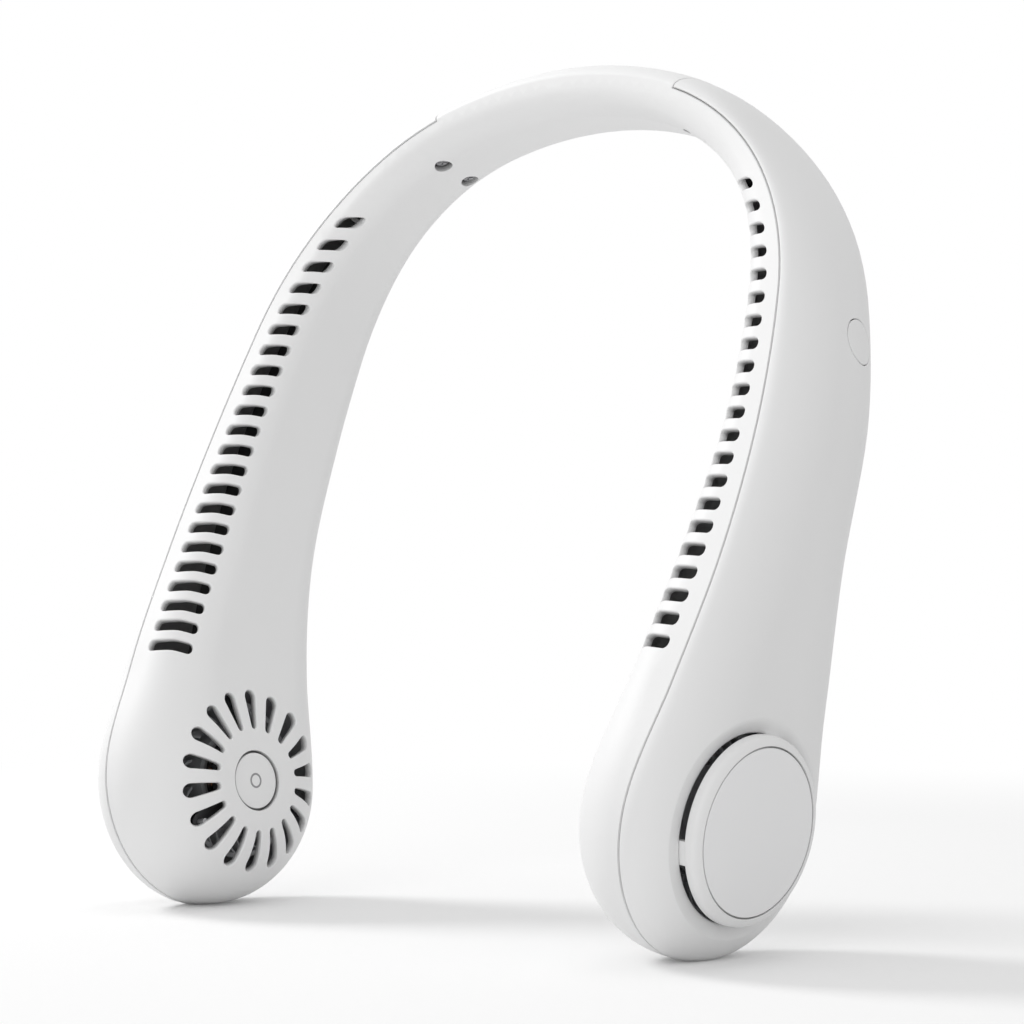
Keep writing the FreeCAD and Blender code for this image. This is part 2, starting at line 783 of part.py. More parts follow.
def outer_cover():
    # cover with the dished intake hole, its collar and the bosses for the case screws
    cover = shell.common(beyond_seam)
    posts = [placed(cylinder(case_boss_radius, 0, 40), frame) for frame in screw_frames]
    collar = ring(intake_radius + collar_width, intake_radius, foot_top, level_at(intake_radius, 0))
    posts.append(placed(collar, pod_frame))
    cover = cover.fuse([post.common(casing) for post in posts])
    edge = level_at(dish_radius, 0)
    dish = spun([(0, edge - dish_depth), (intake_radius, edge - dish_depth), (dish_radius, edge),
                 (dish_radius, cap_top), (0, cap_top)])
    cutters = [placed(dish.fuse(cylinder(intake_radius, 0, cap_top)), pod_frame)]
    cutters += [placed(cylinder(case_screw_radius, -1, screw_end), frame) for frame in screw_frames]
    return cover.cut(cutters)


under_floor = Part.makeBox(400, 400, 40, Vector(-200, -200, -40))
casing = arm_solid(0.0, arm_length).cut(under_floor)
cavity = arm_solid(wall, cavity_end)
shell = casing.cut(cavity)
beyond_seam = outside_the_seam()
cover = outer_cover()
button_hole = placed(cylinder(button_radius + button_gap, -1, 20), button_frame)
right_half = with_board_seats(frame_half(slot_first_right, slot_count_right))
left_half = mirrored(frame_half(slot_first_left, slot_count_left))

nodes = {"inner_frame": right_half.fuse(left_half), "outer_cover_right": cover.cut(button_hole),
         "outer_cover_left": mirrored(cover)}
in_pod = {"intake_cap": intake_cap(), "cap_disc": cap_disc(), "motor_plate": motor_plate(),
          "motor_bearings": motor_bearings(), "motor_screws": motor_screws(), "stator_core": stator_core(),
          "stator_coils": stator_coils(), "rotor_cup": rotor_cup(), "rotor_magnet": rotor_magnet(),
          "motor_shaft": motor_shaft(), "impeller": impeller()}
both_sides = {name: placed(shape, pod_frame) for name, shape in in_pod.items()}
both_sides["grille_badge"] = placed(grille_badge(), grille_frame)
both_sides["volute"] = volute()
both_sides["duct_wall"] = duct_wall()
both_sides["battery"] = placed(battery(), battery_frame())
for name, shape in both_sides.items():
    nodes[name + "_right"] = shape
    nodes[name + "_left"] = mirrored(shape)
screws = [placed(case_screw(), frame) for frame in screw_frames]
nodes["case_screws"] = Part.makeCompound(screws + [mirrored(screw) for screw in screws])
nodes["power_button"] = power_button()
on_board = {"tactile_switch": tactile_switch(), "switch_plunger": switch_plunger(),
            "control_board": control_board(), "charging_socket": charging_socket(),
            "board_screws": Part.makeCompound([board_screw(y) for y in board_screw_places])}
for name, shape in on_board.items():
    nodes[name] = placed(shape, button_frame)
cable = harness_run(harness_radius, cavity_end - harness_reach)
nodes["band_harness"] = cable.fuse(mirrored(cable))

for name, shape in nodes.items():
    shape.exportStep("parts/" + name + ".step")
    print(name, len(shape.Solids), "solids", round(shape.Volume), "cubic mm")
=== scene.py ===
import json
import math

import bmesh
import bpy
import numpy as np
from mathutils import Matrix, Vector, geometry


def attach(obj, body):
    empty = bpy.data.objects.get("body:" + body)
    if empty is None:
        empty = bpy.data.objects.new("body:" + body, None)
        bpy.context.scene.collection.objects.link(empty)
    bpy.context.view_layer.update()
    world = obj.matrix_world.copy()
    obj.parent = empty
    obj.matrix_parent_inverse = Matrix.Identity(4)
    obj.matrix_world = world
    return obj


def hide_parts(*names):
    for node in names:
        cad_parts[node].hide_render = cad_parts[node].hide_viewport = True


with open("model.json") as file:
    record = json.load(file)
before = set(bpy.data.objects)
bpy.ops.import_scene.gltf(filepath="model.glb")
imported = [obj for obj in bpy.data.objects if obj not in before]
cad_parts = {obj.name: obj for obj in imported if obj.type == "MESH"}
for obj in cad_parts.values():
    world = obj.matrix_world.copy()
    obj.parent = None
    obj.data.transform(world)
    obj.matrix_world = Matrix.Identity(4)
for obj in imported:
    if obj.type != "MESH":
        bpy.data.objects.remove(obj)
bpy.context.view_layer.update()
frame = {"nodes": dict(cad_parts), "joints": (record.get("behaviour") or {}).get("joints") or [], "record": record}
nodes = frame["nodes"]
joints = {j["name"]: j for j in frame["joints"]}
print("frame:", len(nodes), "CAD nodes")

scene = bpy.context.scene
scene.view_settings.view_transform = "Standard"
mm = 0.001
mirror = np.array([-1, 1, 1])
bothSides = (("right", 1), ("left", -1))


# node trees
class Value:
    # a socket that takes Python arithmetic
    def __init__(self, owner, socket):
        self.owner = owner
        self.socket = socket

    def maths(self, operation, a, b):
        return self.owner.add("ShaderNodeMath", {"operation": operation}, {0: a, 1: b})[0]

    def __add__(self, other):
        return self.maths("ADD", self, other)

    def __radd__(self, other):
        return self.maths("ADD", other, self)

    def __sub__(self, other):
        return self.maths("SUBTRACT", self, other)

    def __rsub__(self, other):
        return self.maths("SUBTRACT", other, self)

    def __mul__(self, other):
        return self.maths("MULTIPLY", self, other)

    def __rmul__(self, other):
        return self.maths("MULTIPLY", other, self)

    def __or__(self, other):
        return self.maths("MAXIMUM", self, other)


class Tree:
    # adds any node: its settings first, then the values or links of its sockets
    def add(self, kind, settings=None, inputs=None):
        node = self.tree.nodes.new(kind)
        for key, value in (settings or {}).items():
            setattr(node, key, value)
        for key, value in (inputs or {}).items():
            for one in value if isinstance(value, list) else [value]:
                if isinstance(one, Value):
                    self.tree.links.new(one.socket, node.inputs[key])
                else:
                    node.inputs[key].default_value = one
        return [Value(self, socket) for socket in node.outputs]


class Paint(Tree):
    # node tree of one material, or of the world
    def __init__(self, holder, kind="Material"):
        self.holder = holder
        holder.use_nodes = True
        self.tree = holder.node_tree
        self.tree.nodes.clear()
        self.output = self.tree.nodes.new("ShaderNodeOutput" + kind)

    def place(self):
        # object coordinates in millimetres
        coords = self.add("ShaderNodeTexCoord")[3]
        return self.add("ShaderNodeVectorMath", {"operation": "SCALE"}, {0: coords, 3: 1 / mm})[0]

    def noise(self, place, scale, detail=2.0, rough=0.5):
        return self.add("ShaderNodeTexNoise", {}, {"Vector": place, "Scale": scale, "Detail": detail,
                                                   "Roughness": rough})[0]

    def mix(self, factor, a, b):
        return self.add("ShaderNodeMix", {"data_type": "RGBA"}, {0: factor, 6: a, 7: b})[2]

    def bump(self, height, strength, distance):
        return self.add("ShaderNodeBump", {}, {"Strength": strength, "Distance": distance, "Height": height})[0]

    def glow(self, shade, strength):
        return self.add("ShaderNodeEmission", {}, {"Color": colour(shade), "Strength": strength})[0]

    def blend(self, factor, a, b):
        return self.add("ShaderNodeMixShader", {}, {0: factor, 1: a, 2: b})[0]

    def seen(self):
        # what the camera sees, straight or in metal and glass
        ray = {one.socket.name: one for one in self.add("ShaderNodeLightPath")}
        return ray["Is Camera Ray"] | ray["Is Glossy Ray"] | ray["Is Transmission Ray"]

    def show(self, shader):
        self.tree.links.new(shader.socket, self.output.inputs["Surface"])
        return self.holder

    def surface(self, **sockets):
        inputs = {key.replace("_", " "): value for key, value in sockets.items()}
        return self.show(self.add("ShaderNodeBsdfPrincipled", {}, inputs)[0])


class Nodes(Tree):
    # one geometry node tree with named inputs
    def __init__(self, name):
        self.tree = bpy.data.node_groups.new(name, "GeometryNodeTree")
        for way in ("INPUT", "OUTPUT"):
            self.tree.interface.new_socket("Geometry", in_out=way, socket_type="NodeSocketGeometry")
        self.start = self.tree.nodes.new("NodeGroupInput")
        self.end = self.tree.nodes.new("NodeGroupOutput")
        self.carried = Value(self, self.start.outputs[0])
        self.values = {}

    def size(self, name, value):
        item = self.tree.interface.new_socket(name, in_out="INPUT", socket_type="NodeSocketFloat")
        self.values[item.identifier] = value
        return Value(self, self.start.outputs[name])

    def vector(self, x, y, z):
        return self.add("ShaderNodeCombineXYZ", {}, {0: x, 1: y, 2: z})[0]

    def cone(self, count, low, high, depth):
        return self.add("GeometryNodeMeshCone", {}, {"Vertices": count, "Radius Bottom": low, "Radius Top": high,
                                                     "Depth": depth})[0]

    def lifted(self, shape, height):
        return self.add("GeometryNodeTransform", {}, {"Geometry": shape,
                                                      "Translation": self.vector(0.0, 0.0, height)})[0]

    def joined(self, operation, inputs):
        # this solver gives the same faces in each run
        return self.add("GeometryNodeMeshBoolean", {"operation": operation, "solver": "MANIFOLD"}, inputs)[0]

    def finish(self, shape, material):
        whole = self.add("GeometryNodeRealizeInstances", {}, {0: shape})[0]
        done = self.add("GeometryNodeSetMaterial", {}, {0: whole, "Material": material})[0]
        self.tree.links.new(done.socket, self.end.inputs[0])

    def plain(self, name, mesh):
        # plain mesh of what the tree makes from a carrier mesh
        carrier = bpy.data.objects.new(name + "_carrier", mesh)
        scene.collection.objects.link(carrier)
        modifier = carrier.modifiers.new(name, "NODES")
        modifier.node_group = self.tree
        for identifier, value in self.values.items():
            modifier[identifier] = value
        seen = carrier.evaluated_get(bpy.context.evaluated_depsgraph_get())
        made = bpy.data.meshes.new_from_object(seen)
        carrier.modifiers.remove(modifier)
        bpy.data.objects.remove(carrier)
        made.name = name
        return made


# finishes
def colour(r, g=None, b=None):
    return (r, r if g is None else g, r if b is None else b, 1)


moulding = {"spark": 3.2, "sparkDetail": 3.0, "sparkRough": 0.6, "flow": 0.018, "dull": 0.965, "flowRough": 0.08,
            "sparkSheen": 0.06, "bump": 0.12, "bumpDeep": 0.00006, "bend": 1.46}
plating = {"streak": 1.6, "streakDetail": 4.0, "spots": 0.35, "dull": 0.82, "streakRough": 0.12,
           "spotRough": 0.08, "bump": 0.1, "bumpDeep": 0.00005}


def tinted(shade, tint):
    return tuple(shade * t for t in tint) + (1,)


def mouldedPlastic(name, shade, rough, grain=1.0, tint=(1.0, 1.0, 1.0), paintedInsideShade=None):
    # matte moulded plastic: fine spark texture, faint flow marks; painted shade where the inside attribute is set,
    # on the inside of the wall, in recesses, grooves and along seams
    paint = Paint(bpy.data.materials.new(name))
    place = paint.place()
    spark = paint.noise(place, moulding["spark"], moulding["sparkDetail"], moulding["sparkRough"])
    flow = paint.noise(place, moulding["flow"])
    skin = paint.mix(flow, tinted(moulding["dull"] * shade, tint), tinted(shade, tint))
    if paintedInsideShade is not None:
        # painted shade: the colour goes towards a dark grey where the inside attribute is set
        inside = paint.add("ShaderNodeAttribute", {"attribute_name": "inside"})[2]
        skin = paint.mix(inside, skin, colour(paintedInsideShade))
    return paint.surface(Base_Color=skin,
                         Roughness=rough + moulding["flowRough"] * flow + moulding["sparkSheen"] * spark,
                         Normal=paint.bump(spark, moulding["bump"] * grain, moulding["bumpDeep"]),
                         IOR=moulding["bend"])


def metal(name, shade, rough, brush):
    # plated or turned metal with fine streaks
    paint = Paint(bpy.data.materials.new(name))
    place = paint.place()
    stretched = paint.add("ShaderNodeVectorMath", {"operation": "MULTIPLY"}, {0: place, 1: (1, 1, brush)})[0]
    streak = paint.noise(stretched, plating["streak"], plating["streakDetail"])
    spots = paint.noise(place, plating["spots"])
    return paint.surface(Base_Color=paint.mix(streak, tinted(plating["dull"], shade[:3]), shade), Metallic=1.0,
                         Roughness=rough + plating["streakRough"] * streak + plating["spotRough"] * spots,
                         Normal=paint.bump(streak, plating["bump"], plating["bumpDeep"]))


# white casing plastic, with painted shade on its inside, in recesses, grooves and along seams
white = mouldedPlastic("white_casing_plastic_painted_shade", 0.86, 0.46, paintedInsideShade=0.42)
capWhite = mouldedPlastic("white_cap_plastic", 0.86, 0.46)
discWhite = mouldedPlastic("cap_disc_plastic", 0.9, 0.4, 0.6, (1.0, 1.0, 1.005))
markGrey = mouldedPlastic("badge_mark_grey", 0.3, 0.5, 0.6, (1.0, 1.0, 1.02))
steel = metal("plated_steel", colour(0.5, 0.5, 0.51), 0.5, 0.2)


# arm shape, repeated from the part's source, in millimetres; each row starts with its height up the arm
arm = {"toe": 8.2, "podStraight": 24.7, "bends": [(305.0, 18.5), (75.5, 63.3), (122.5, 16.4)], "lean": 8.2,
       "wall": 1.8, "coverEnd": 200.8, "land": 0.4}
sizeNames = ("front", "back", "inner", "outer", "innerRound", "outerRound")
sectionRows = np.array([
    (0.0, -31.7, 31.7, 22.6, 11.3, 19.8, 17.6), (29.0, -23.95, 29.1, 19.0, 9.3, 13.4, 17.1),
    (60.0, -13.45, 28.6, 17.7, 8.6, 10.9, 17.6), (97.0, -2.0, 34.5, 14.2, 9.7, 8.6, 15.6),
    (133.0, 7.45, 38.9, 12.4, 6.6, 7.4, 14.0), (169.0, 14.5, 42.2, 9.5, 3.4, 7.0, 13.0),
    (205.0, 17.7, 43.9, 8.7, 4.7, 7.0, 11.4), (0.0, 18.3, 44.6, 8.6, 5.3, 7.0, 11.4)])
armLength = arm["podStraight"] + sum(radius * math.radians(turn) for radius, turn in arm["bends"])
sectionRows[-1, 0] = armLength
podCentre = np.array(joints["fan_right_spin"]["pos_m"]) / mm
podAxis = np.array(joints["fan_right_spin"]["axis"])


def seamAt(s):
    lean = np.full_like(s, math.radians(arm["toe"]))
    straight = np.minimum(s, arm["podStraight"])
    x = straight * np.sin(lean)
    z = straight * np.cos(lean)
    left = s - straight
    for k, (radius, turn) in enumerate(arm["bends"]):
        step = left if k == 2 else np.minimum(left, radius * math.radians(turn))
        turned = lean - step / radius
        x = x + radius * (np.cos(turned) - np.cos(lean))
        z = z + radius * (np.sin(lean) - np.sin(turned))
        lean = turned
        left = left - step
    return x, z, lean


def sizeSlopes(values, at):
    span = np.diff(at)
    rise = np.diff(values) / span
    slopes = np.zeros(len(values))
    slopes[1:-1] = (rise[:-1] * span[1:] + rise[1:] * span[:-1]) / (span[:-1] + span[1:])
    return slopes


def sizesAt(s):
    # all sizes of the cross-section at heights s
    at = sectionRows[:, 0]
    s = np.clip(np.where(s > armLength, 2 * armLength - s, s), 0, armLength)
    k = np.clip(np.searchsorted(at, s, side="right") - 1, 0, len(at) - 2)
    span = at[k + 1] - at[k]
    t = (s - at[k]) / span
    found = {}
    for column, name in enumerate(sizeNames, 1):
        v = sectionRows[:, column]
        m = sizeSlopes(v, at)
        found[name] = (v[k] * (1 + 2 * t) * (1 - t) ** 2 + m[k] * span * t * (1 - t) ** 2
                       + v[k + 1] * t * t * (3 - 2 * t) + m[k + 1] * span * t * t * (t - 1))
    return found


def armPoint(s, y, depth):
    # point beside the seam line, in the part's frame
    x, z, lean = seamAt(s)
    x = x + depth * np.cos(lean)
    z = z - depth * np.sin(lean)
    tilt = math.radians(arm["lean"])
    return podCentre + np.stack([x, y * math.cos(tilt) + z * math.sin(tilt),
                                 z * math.cos(tilt) - y * math.sin(tilt)], -1)


class Side:
    # one side of the casing unrolled: a runs up the arm, b across it from the middle of the face
    def __init__(self, inner):
        self.inner = inner

    def parts(self, s):
        z = sizesAt(s)
        middle = (z["front"] + z["back"]) / 2
        bend = z["innerRound"] if self.inner else z["outerRound"]
        rise = z["innerRound"] if self.inner else z["outer"] - arm["land"]
        flat = (z["back"] - z["front"]) / 2 - bend
        curve = math.pi / 2 * np.sqrt((bend ** 2 + rise ** 2) / 2)
        edge = z["inner"] - z["innerRound"] if self.inner else arm["land"] + 0 * s
        return middle, flat, bend, rise, curve, edge

    def half(self, s):
        middle, flat, bend, rise, curve, edge = self.parts(s)
        return flat + curve + edge

    def point(self, a, b):
        a, b = np.asarray(a, float), np.asarray(b, float)
        low = a < 0
        s = np.where(low, 0.0, a)
        run = np.where(low, np.hypot(a, b), np.abs(b))
        middle, flat, bend, rise, curve, edge = self.parts(s)
        turn = np.clip((run - flat) / curve, 0, 1) * math.pi / 2
        reach = np.where(run < flat, run, flat + bend * np.sin(turn))
        drop = rise * (1 - np.cos(turn)) + np.maximum(run - flat - curve, 0)
        depth = (rise + edge - drop) * (-1 if self.inner else 1)
        safe = np.where(run > 1e-9, run, 1)
        across = np.where(low, reach * b / safe, np.sign(b) * reach)
        return armPoint(np.where(low, reach * a / safe, a), middle * ~low + across, depth)

    def normal(self, a, b, step=0.02):
        along = self.point(a + step, b) - self.point(a - step, b)
        over = self.point(a, b + step) - self.point(a, b - step)
        n = np.cross(along, over)
        n = n / np.linalg.norm(n, axis=-1, keepdims=True)
        return n if self.inner else -n

    def sunk(self, ab, depth):
        a, b = ab[:, 0], ab[:, 1]
        return self.point(a, b) - self.normal(a, b) * np.reshape(depth, (-1, 1))

    def unroll(self, s, y):
        # place on the unrolled side of a point that is s up the arm and y from the pod axis
        s, y = np.asarray(s, float), np.asarray(y, float)
        low = s < 0
        middle, flat, bend, rise, curve, edge = self.parts(np.where(low, 0.0, s))
        reach = np.where(low, np.hypot(s, y), np.abs(y - middle))
        turn = np.arcsin(np.clip((reach - flat) / bend, 0, 1))
        run = np.where(reach < flat, reach, flat + turn * curve / (math.pi / 2))
        safe = np.where(reach > 1e-9, reach, 1)
        return np.stack([np.where(low, s * run / safe, s),
                         np.where(low, y * run / safe, np.sign(y - middle) * run)], -1)

    def across(self, s, margin, counts):
        # even steps from the middle of the face to the edge, closer together round the bend
        middle, flat, bend, rise, curve, edge = [float(v) for v in self.parts(np.array(float(s)))]
        flatCount, bendCount, edgeCount = counts
        return np.concatenate([np.linspace(0, flat, flatCount, endpoint=False),
                               np.linspace(flat, flat + curve, bendCount, endpoint=False),
                               np.linspace(flat + curve, flat + curve + edge - margin, edgeCount)])


innerSide = Side(True)
outerSide = Side(False)
print("arm length", round(armLength, 2), "mm")


# skins with rolled edges
def loopOut(loop):
    # outward direction at each point of a closed loop, and the loop run anticlockwise
    area = np.sum(loop[:, 0] * np.roll(loop[:, 1], -1) - np.roll(loop[:, 0], -1) * loop[:, 1])
    if area < 0:
        loop = loop[::-1]
    run = np.roll(loop, -1, 0) - np.roll(loop, 1, 0)
    out = np.stack([run[:, 1], -run[:, 0]], -1)
    return loop, out / np.linalg.norm(out, axis=1, keepdims=True)


def insideLoop(points, loop):
    x, y = points[:, 0:1], points[:, 1:2]
    x0, y0 = loop[:, 0], loop[:, 1]
    x1, y1 = np.roll(x0, -1), np.roll(y0, -1)
    crosses = ((y0 > y) != (y1 > y)) & (x < (x1 - x0) * (y - y0) / np.where(y1 == y0, 1e-12, y1 - y0) + x0)
    return crosses.sum(1) % 2 == 1


class Skin:
    # collects the faces of one thin moulding
    def __init__(self):
        self.points = []
        self.inside = []
        self.exact = {}
        self.faces = []

    # inside is the share of painted shade at each point: 0 on the outside, 1 on the inside of the wall
    def put(self, xyz, inside, normals=None):
        first = len(self.points)
        for k, p in enumerate(xyz):
            self.points.append(p)
            self.inside.append(float(inside if np.isscalar(inside) else inside[k]))
            if normals is not None:
                self.exact[first + k] = normals[k]
        return list(range(first, len(self.points)))

    def strip(self, ring, row, turned=False, closed=True):
        # faces from one row of points to the next
        a, b = (row, ring) if turned else (ring, row)
        for k in range(len(a) if closed else len(a) - 1):
            j = (k + 1) % len(a)
            face = tuple(dict.fromkeys((a[k], a[j], b[j], b[k])))
            if len(face) > 2:
                self.faces.append(face)
        return row

    def roll(self, ring, rowAt, turned=False, closed=True, steps=3):
        # rounded lip: each row is made from the way left across, the way down and the share done
        for k in range(1, steps + 1):
            angle = math.pi / 2 * k / steps
            row = rowAt(1 - math.sin(angle), 1 - math.cos(angle), k / steps)
            ring = self.strip(ring, row, turned, closed)
        return ring

    def mirrored(self):
        other = Skin()
        other.points = [p * mirror for p in self.points]
        other.inside = list(self.inside)
        other.exact = {k: n * mirror for k, n in self.exact.items()}
        other.faces = [f[::-1] for f in self.faces]
        return other

    def join(self, other):
        first = len(self.points)
        self.points += other.points
        self.inside += other.inside
        self.exact.update({k + first: n for k, n in other.exact.items()})
        self.faces += [tuple(v + first for v in f) for f in other.faces]


wall = arm["wall"]
holeRoom = {"search": 1.5, "clear": 0.75}
# painted shade along rounded lips: of a blind recess's opening and of the seams
paintedLipShade = {"opening": 0.6, "seam": 0.3}
recessWall = 0.8


def patch(skin, side, grid, rim, holes):
    # triangles between a rim and the holes of an unrolled side, and the same again on the inside of the wall,
    # which gets full painted shade
    coords = [rim]
    label = [np.full(len(rim), -2)]
    links = [(k, (k + 1) % len(rim)) for k in range(len(rim))]
    keep = np.ones(len(grid), bool)
    for hole in holes:
        low = hole.min(0) - holeRoom["search"]
        high = hole.max(0) + holeRoom["search"]
        near = np.where(((grid > low) & (grid < high)).all(1) & keep)[0]
        if len(near):
            gap = np.linalg.norm(grid[near][:, None] - hole[None], axis=2).min(1)
            keep[near[(gap < holeRoom["clear"]) | insideLoop(grid[near], hole)]] = False
    coords.append(grid[keep])
    label.append(np.full(keep.sum(), -1))
    total = len(rim) + keep.sum()
    for number, hole in enumerate(holes):
        links += [(total + k, total + (k + 1) % len(hole)) for k in range(len(hole))]
        coords.append(hole)
        label.append(np.full(len(hole), number))
        total += len(hole)
    flat = np.concatenate(coords)
    label = np.concatenate(label)
    got = geometry.delaunay_2d_cdt([Vector(p) for p in flat], links, [], 0, 1e-7)
    back = np.array([o[0] if o else -1 for o in got[3]])
    tris = np.array([[back[v] for v in f] for f in got[2]])
    middle = flat[tris].mean(1)
    kinds = label[tris]
    same = (kinds == kinds[:, :1]).all(1)
    tris = tris[~(same & (kinds[:, 0] >= 0)) & insideLoop(middle, rim)]
    a, b, c = flat[tris[0]]
    if (np.cross(b - a, c - a) < 0) == side.inner:
        tris = tris[:, ::-1]
    out = skin.put(side.sunk(flat, 0), 0.0, side.normal(flat[:, 0], flat[:, 1]))
    back = skin.put(side.sunk(flat, wall), 1.0)
    skin.faces += [tuple(out[v] for v in t) for t in tris]
    skin.faces += [tuple(back[v] for v in t[::-1]) for t in tris]
    start = [0] + list(np.cumsum([len(c) for c in coords]))
    rings = [(range(start[k], start[k + 1])) for k in [0] + list(range(2, len(coords)))]
    return [([out[v] for v in r], [back[v] for v in r]) for r in rings]


def rolled(skin, side, top, under, loop, out, lip, foot=None, floor=None, shade=0.0):
    # rounded lip and straight wall of an opening; a floor makes it a blind recess; shade sets the painted shade
    # that grows down the lip and wall, and the recess's underside gets full painted shade
    def rowAt(across, down, done):
        return skin.put(side.sunk(loop + out * lip * across, lip * down), paintedLipShade["opening"] * shade * done)

    turned = not side.inner
    ring = skin.roll(top, rowAt, turned, steps=4)
    bottom = skin.put(side.sunk(loop if foot is None else foot, floor or wall), shade)
    skin.strip(ring, bottom, turned)
    if floor is None:
        skin.strip(bottom, under, turned)
        return
    skin.faces.append(tuple(bottom if turned else bottom[::-1]))
    cap = skin.put(side.sunk(loop, max(wall, floor + recessWall)), 1.0)
    skin.strip(cap, under, turned)
    skin.faces.append(tuple(cap[::-1] if turned else cap))


def plainPiece(name, mesh, body, replaced, note=""):
    piece = bpy.data.objects.new(name, mesh)
    scene.collection.objects.link(piece)
    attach(piece, body)
    if replaced:
        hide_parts(*replaced)
    print(name, len(mesh.polygons), "faces", note)


def rowsOf(data, field, width, kind=np.float32):
    got = np.zeros(len(data) * width, kind)
    data.foreach_get(field, got)
    return got.reshape(-1, width)


def closedMesh(mesh, weld=2e-6, sliver=1e-7):
    # doubles merged, gaps filled, large faces cut up; returns how many edges stay open
    work = bmesh.new()
    work.from_mesh(mesh)
    bmesh.ops.remove_doubles(work, verts=work.verts, dist=weld)
    bmesh.ops.dissolve_degenerate(work, edges=work.edges, dist=sliver)
    loose = [e for e in work.edges if e.is_boundary]
    if loose:
        bmesh.ops.holes_fill(work, edges=loose, sides=0)
    stray = [v for v in work.verts if not v.link_faces]
    bmesh.ops.delete(work, geom=stray, context="VERTS")
    opened = sum(e.is_boundary for e in work.edges)
    bmesh.ops.triangulate(work, faces=[f for f in work.faces if len(f.verts) > 4])
    for face in work.faces:
        face.smooth = True
    work.to_mesh(mesh)
    work.free()
    return opened


def meshPiece(name, points, faces, material, body, replaced, slot, inside=None, exact=None, sharp=40):
    # plain mesh in metres with smooth shading; exact holds the normals that are known
    mesh = bpy.data.meshes.new(name)
    mesh.from_pydata([tuple(np.asarray(p) * mm) for p in points], [], faces)
    # the inside attribute holds each point's painted shade, read by the casing material
    if inside is not None:
        layer = mesh.attributes.new("inside", "FLOAT", "POINT")
        layer.data.foreach_set("value", np.array(inside, np.float32))
    if exact is not None:
        hint = mesh.attributes.new("hint", "FLOAT_VECTOR", "POINT")
        values = np.zeros((len(points), 3), np.float32)
        for k, n in exact.items():
            values[k] = n
        hint.data.foreach_set("vector", values.ravel())
    opened = closedMesh(mesh)
    if sharp is not None:
        mesh.set_sharp_from_angle(angle=math.radians(sharp))
    if exact is not None:
        owner = rowsOf(mesh.loops, "vertex_index", 1, np.int32)[:, 0]
        values = rowsOf(mesh.attributes["hint"].data, "vector", 3)[owner]
        corners = rowsOf(mesh.corner_normals, "vector", 3)
        known = np.linalg.norm(values, axis=1) > 0.5
        corners[known] = values[known]
        mesh.attributes.remove(mesh.attributes["hint"])
        mesh.normals_split_custom_set([tuple(n) for n in corners])
    mesh.materials.append(material)
    plainPiece(name, mesh, body, replaced, str(opened) + " open edges")


def casingPiece(name, skin, replaced):
    # cut off flat at the floor
    points = [np.array([p[0], p[1], max(p[2], 0.0)]) for p in skin.points]
    meshPiece(name, points, skin.faces, white, "casing", [replaced], "white_plastic", skin.inside, skin.exact,
              None)


# openings in the inner frame
slots = {"width": 2.9, "pitch": 5.4, "growth": 0.8, "firstLeft": 34.1, "firstRight": 37.9, "countLeft": 22,
         "countRight": 21, "startLow": 5.1, "startHigh": 3.6, "reachLow": 5.5, "reachHigh": 2.75, "round": 1.3,
         "tilt": 0.09, "sink": 0.25, "knee": 0.55, "droop": 0.95, "bow": 1.4, "lip": 0.35, "pull": 1.45}
grille = {"drop": 1.3, "count": 18, "inside": 13.2, "outside": 23.6, "wide": 3.75, "narrow": 1.85, "lip": 0.35,
          "back": 0.6, "up": 0.35, "turn": 2.2}
badge = {"radius": 7.2, "gap": 0.65, "sunk": 0.55, "deep": 1.8, "lip": 0.15, "edge": 0.2, "points": 48}
caseScrew = {"at": 193.5, "fromFront": 7.0, "fromBack": 7.0, "ahead": 0.9, "behind": -1.2, "bore": 2.55,
             "deep": 2.6, "lip": 0.15, "points": 28}
socket = {"at": 113.3, "depth": 3.0, "length": 9.3, "height": 3.5, "round": 1.45, "lip": 0.3}
seam = {"gap": 0.08, "lip": 0.2}
halvings, settling = 40, 12


def slotHeights(first, count):
    # heights above the pod axis, a little further apart towards the top
    heights = [first]
    while len(heights) < count:
        heights.append(heights[-1] + slots["pitch"] + slots["growth"] * (len(heights) / (count - 1)) ** 2)
    return heights


def heightOf(points):
    tilt = math.radians(arm["lean"])
    away = points - podCentre
    return away[..., 1] * math.sin(tilt) + away[..., 2] * math.cos(tilt)


def cornerArc(k, x, y, radius):
    # quarter circle k of a rounded outline
    turns = np.linspace(0, math.pi / 2, 6) + k * math.pi / 2
    return [(x + radius * math.cos(t), y + radius * math.sin(t)) for t in turns]


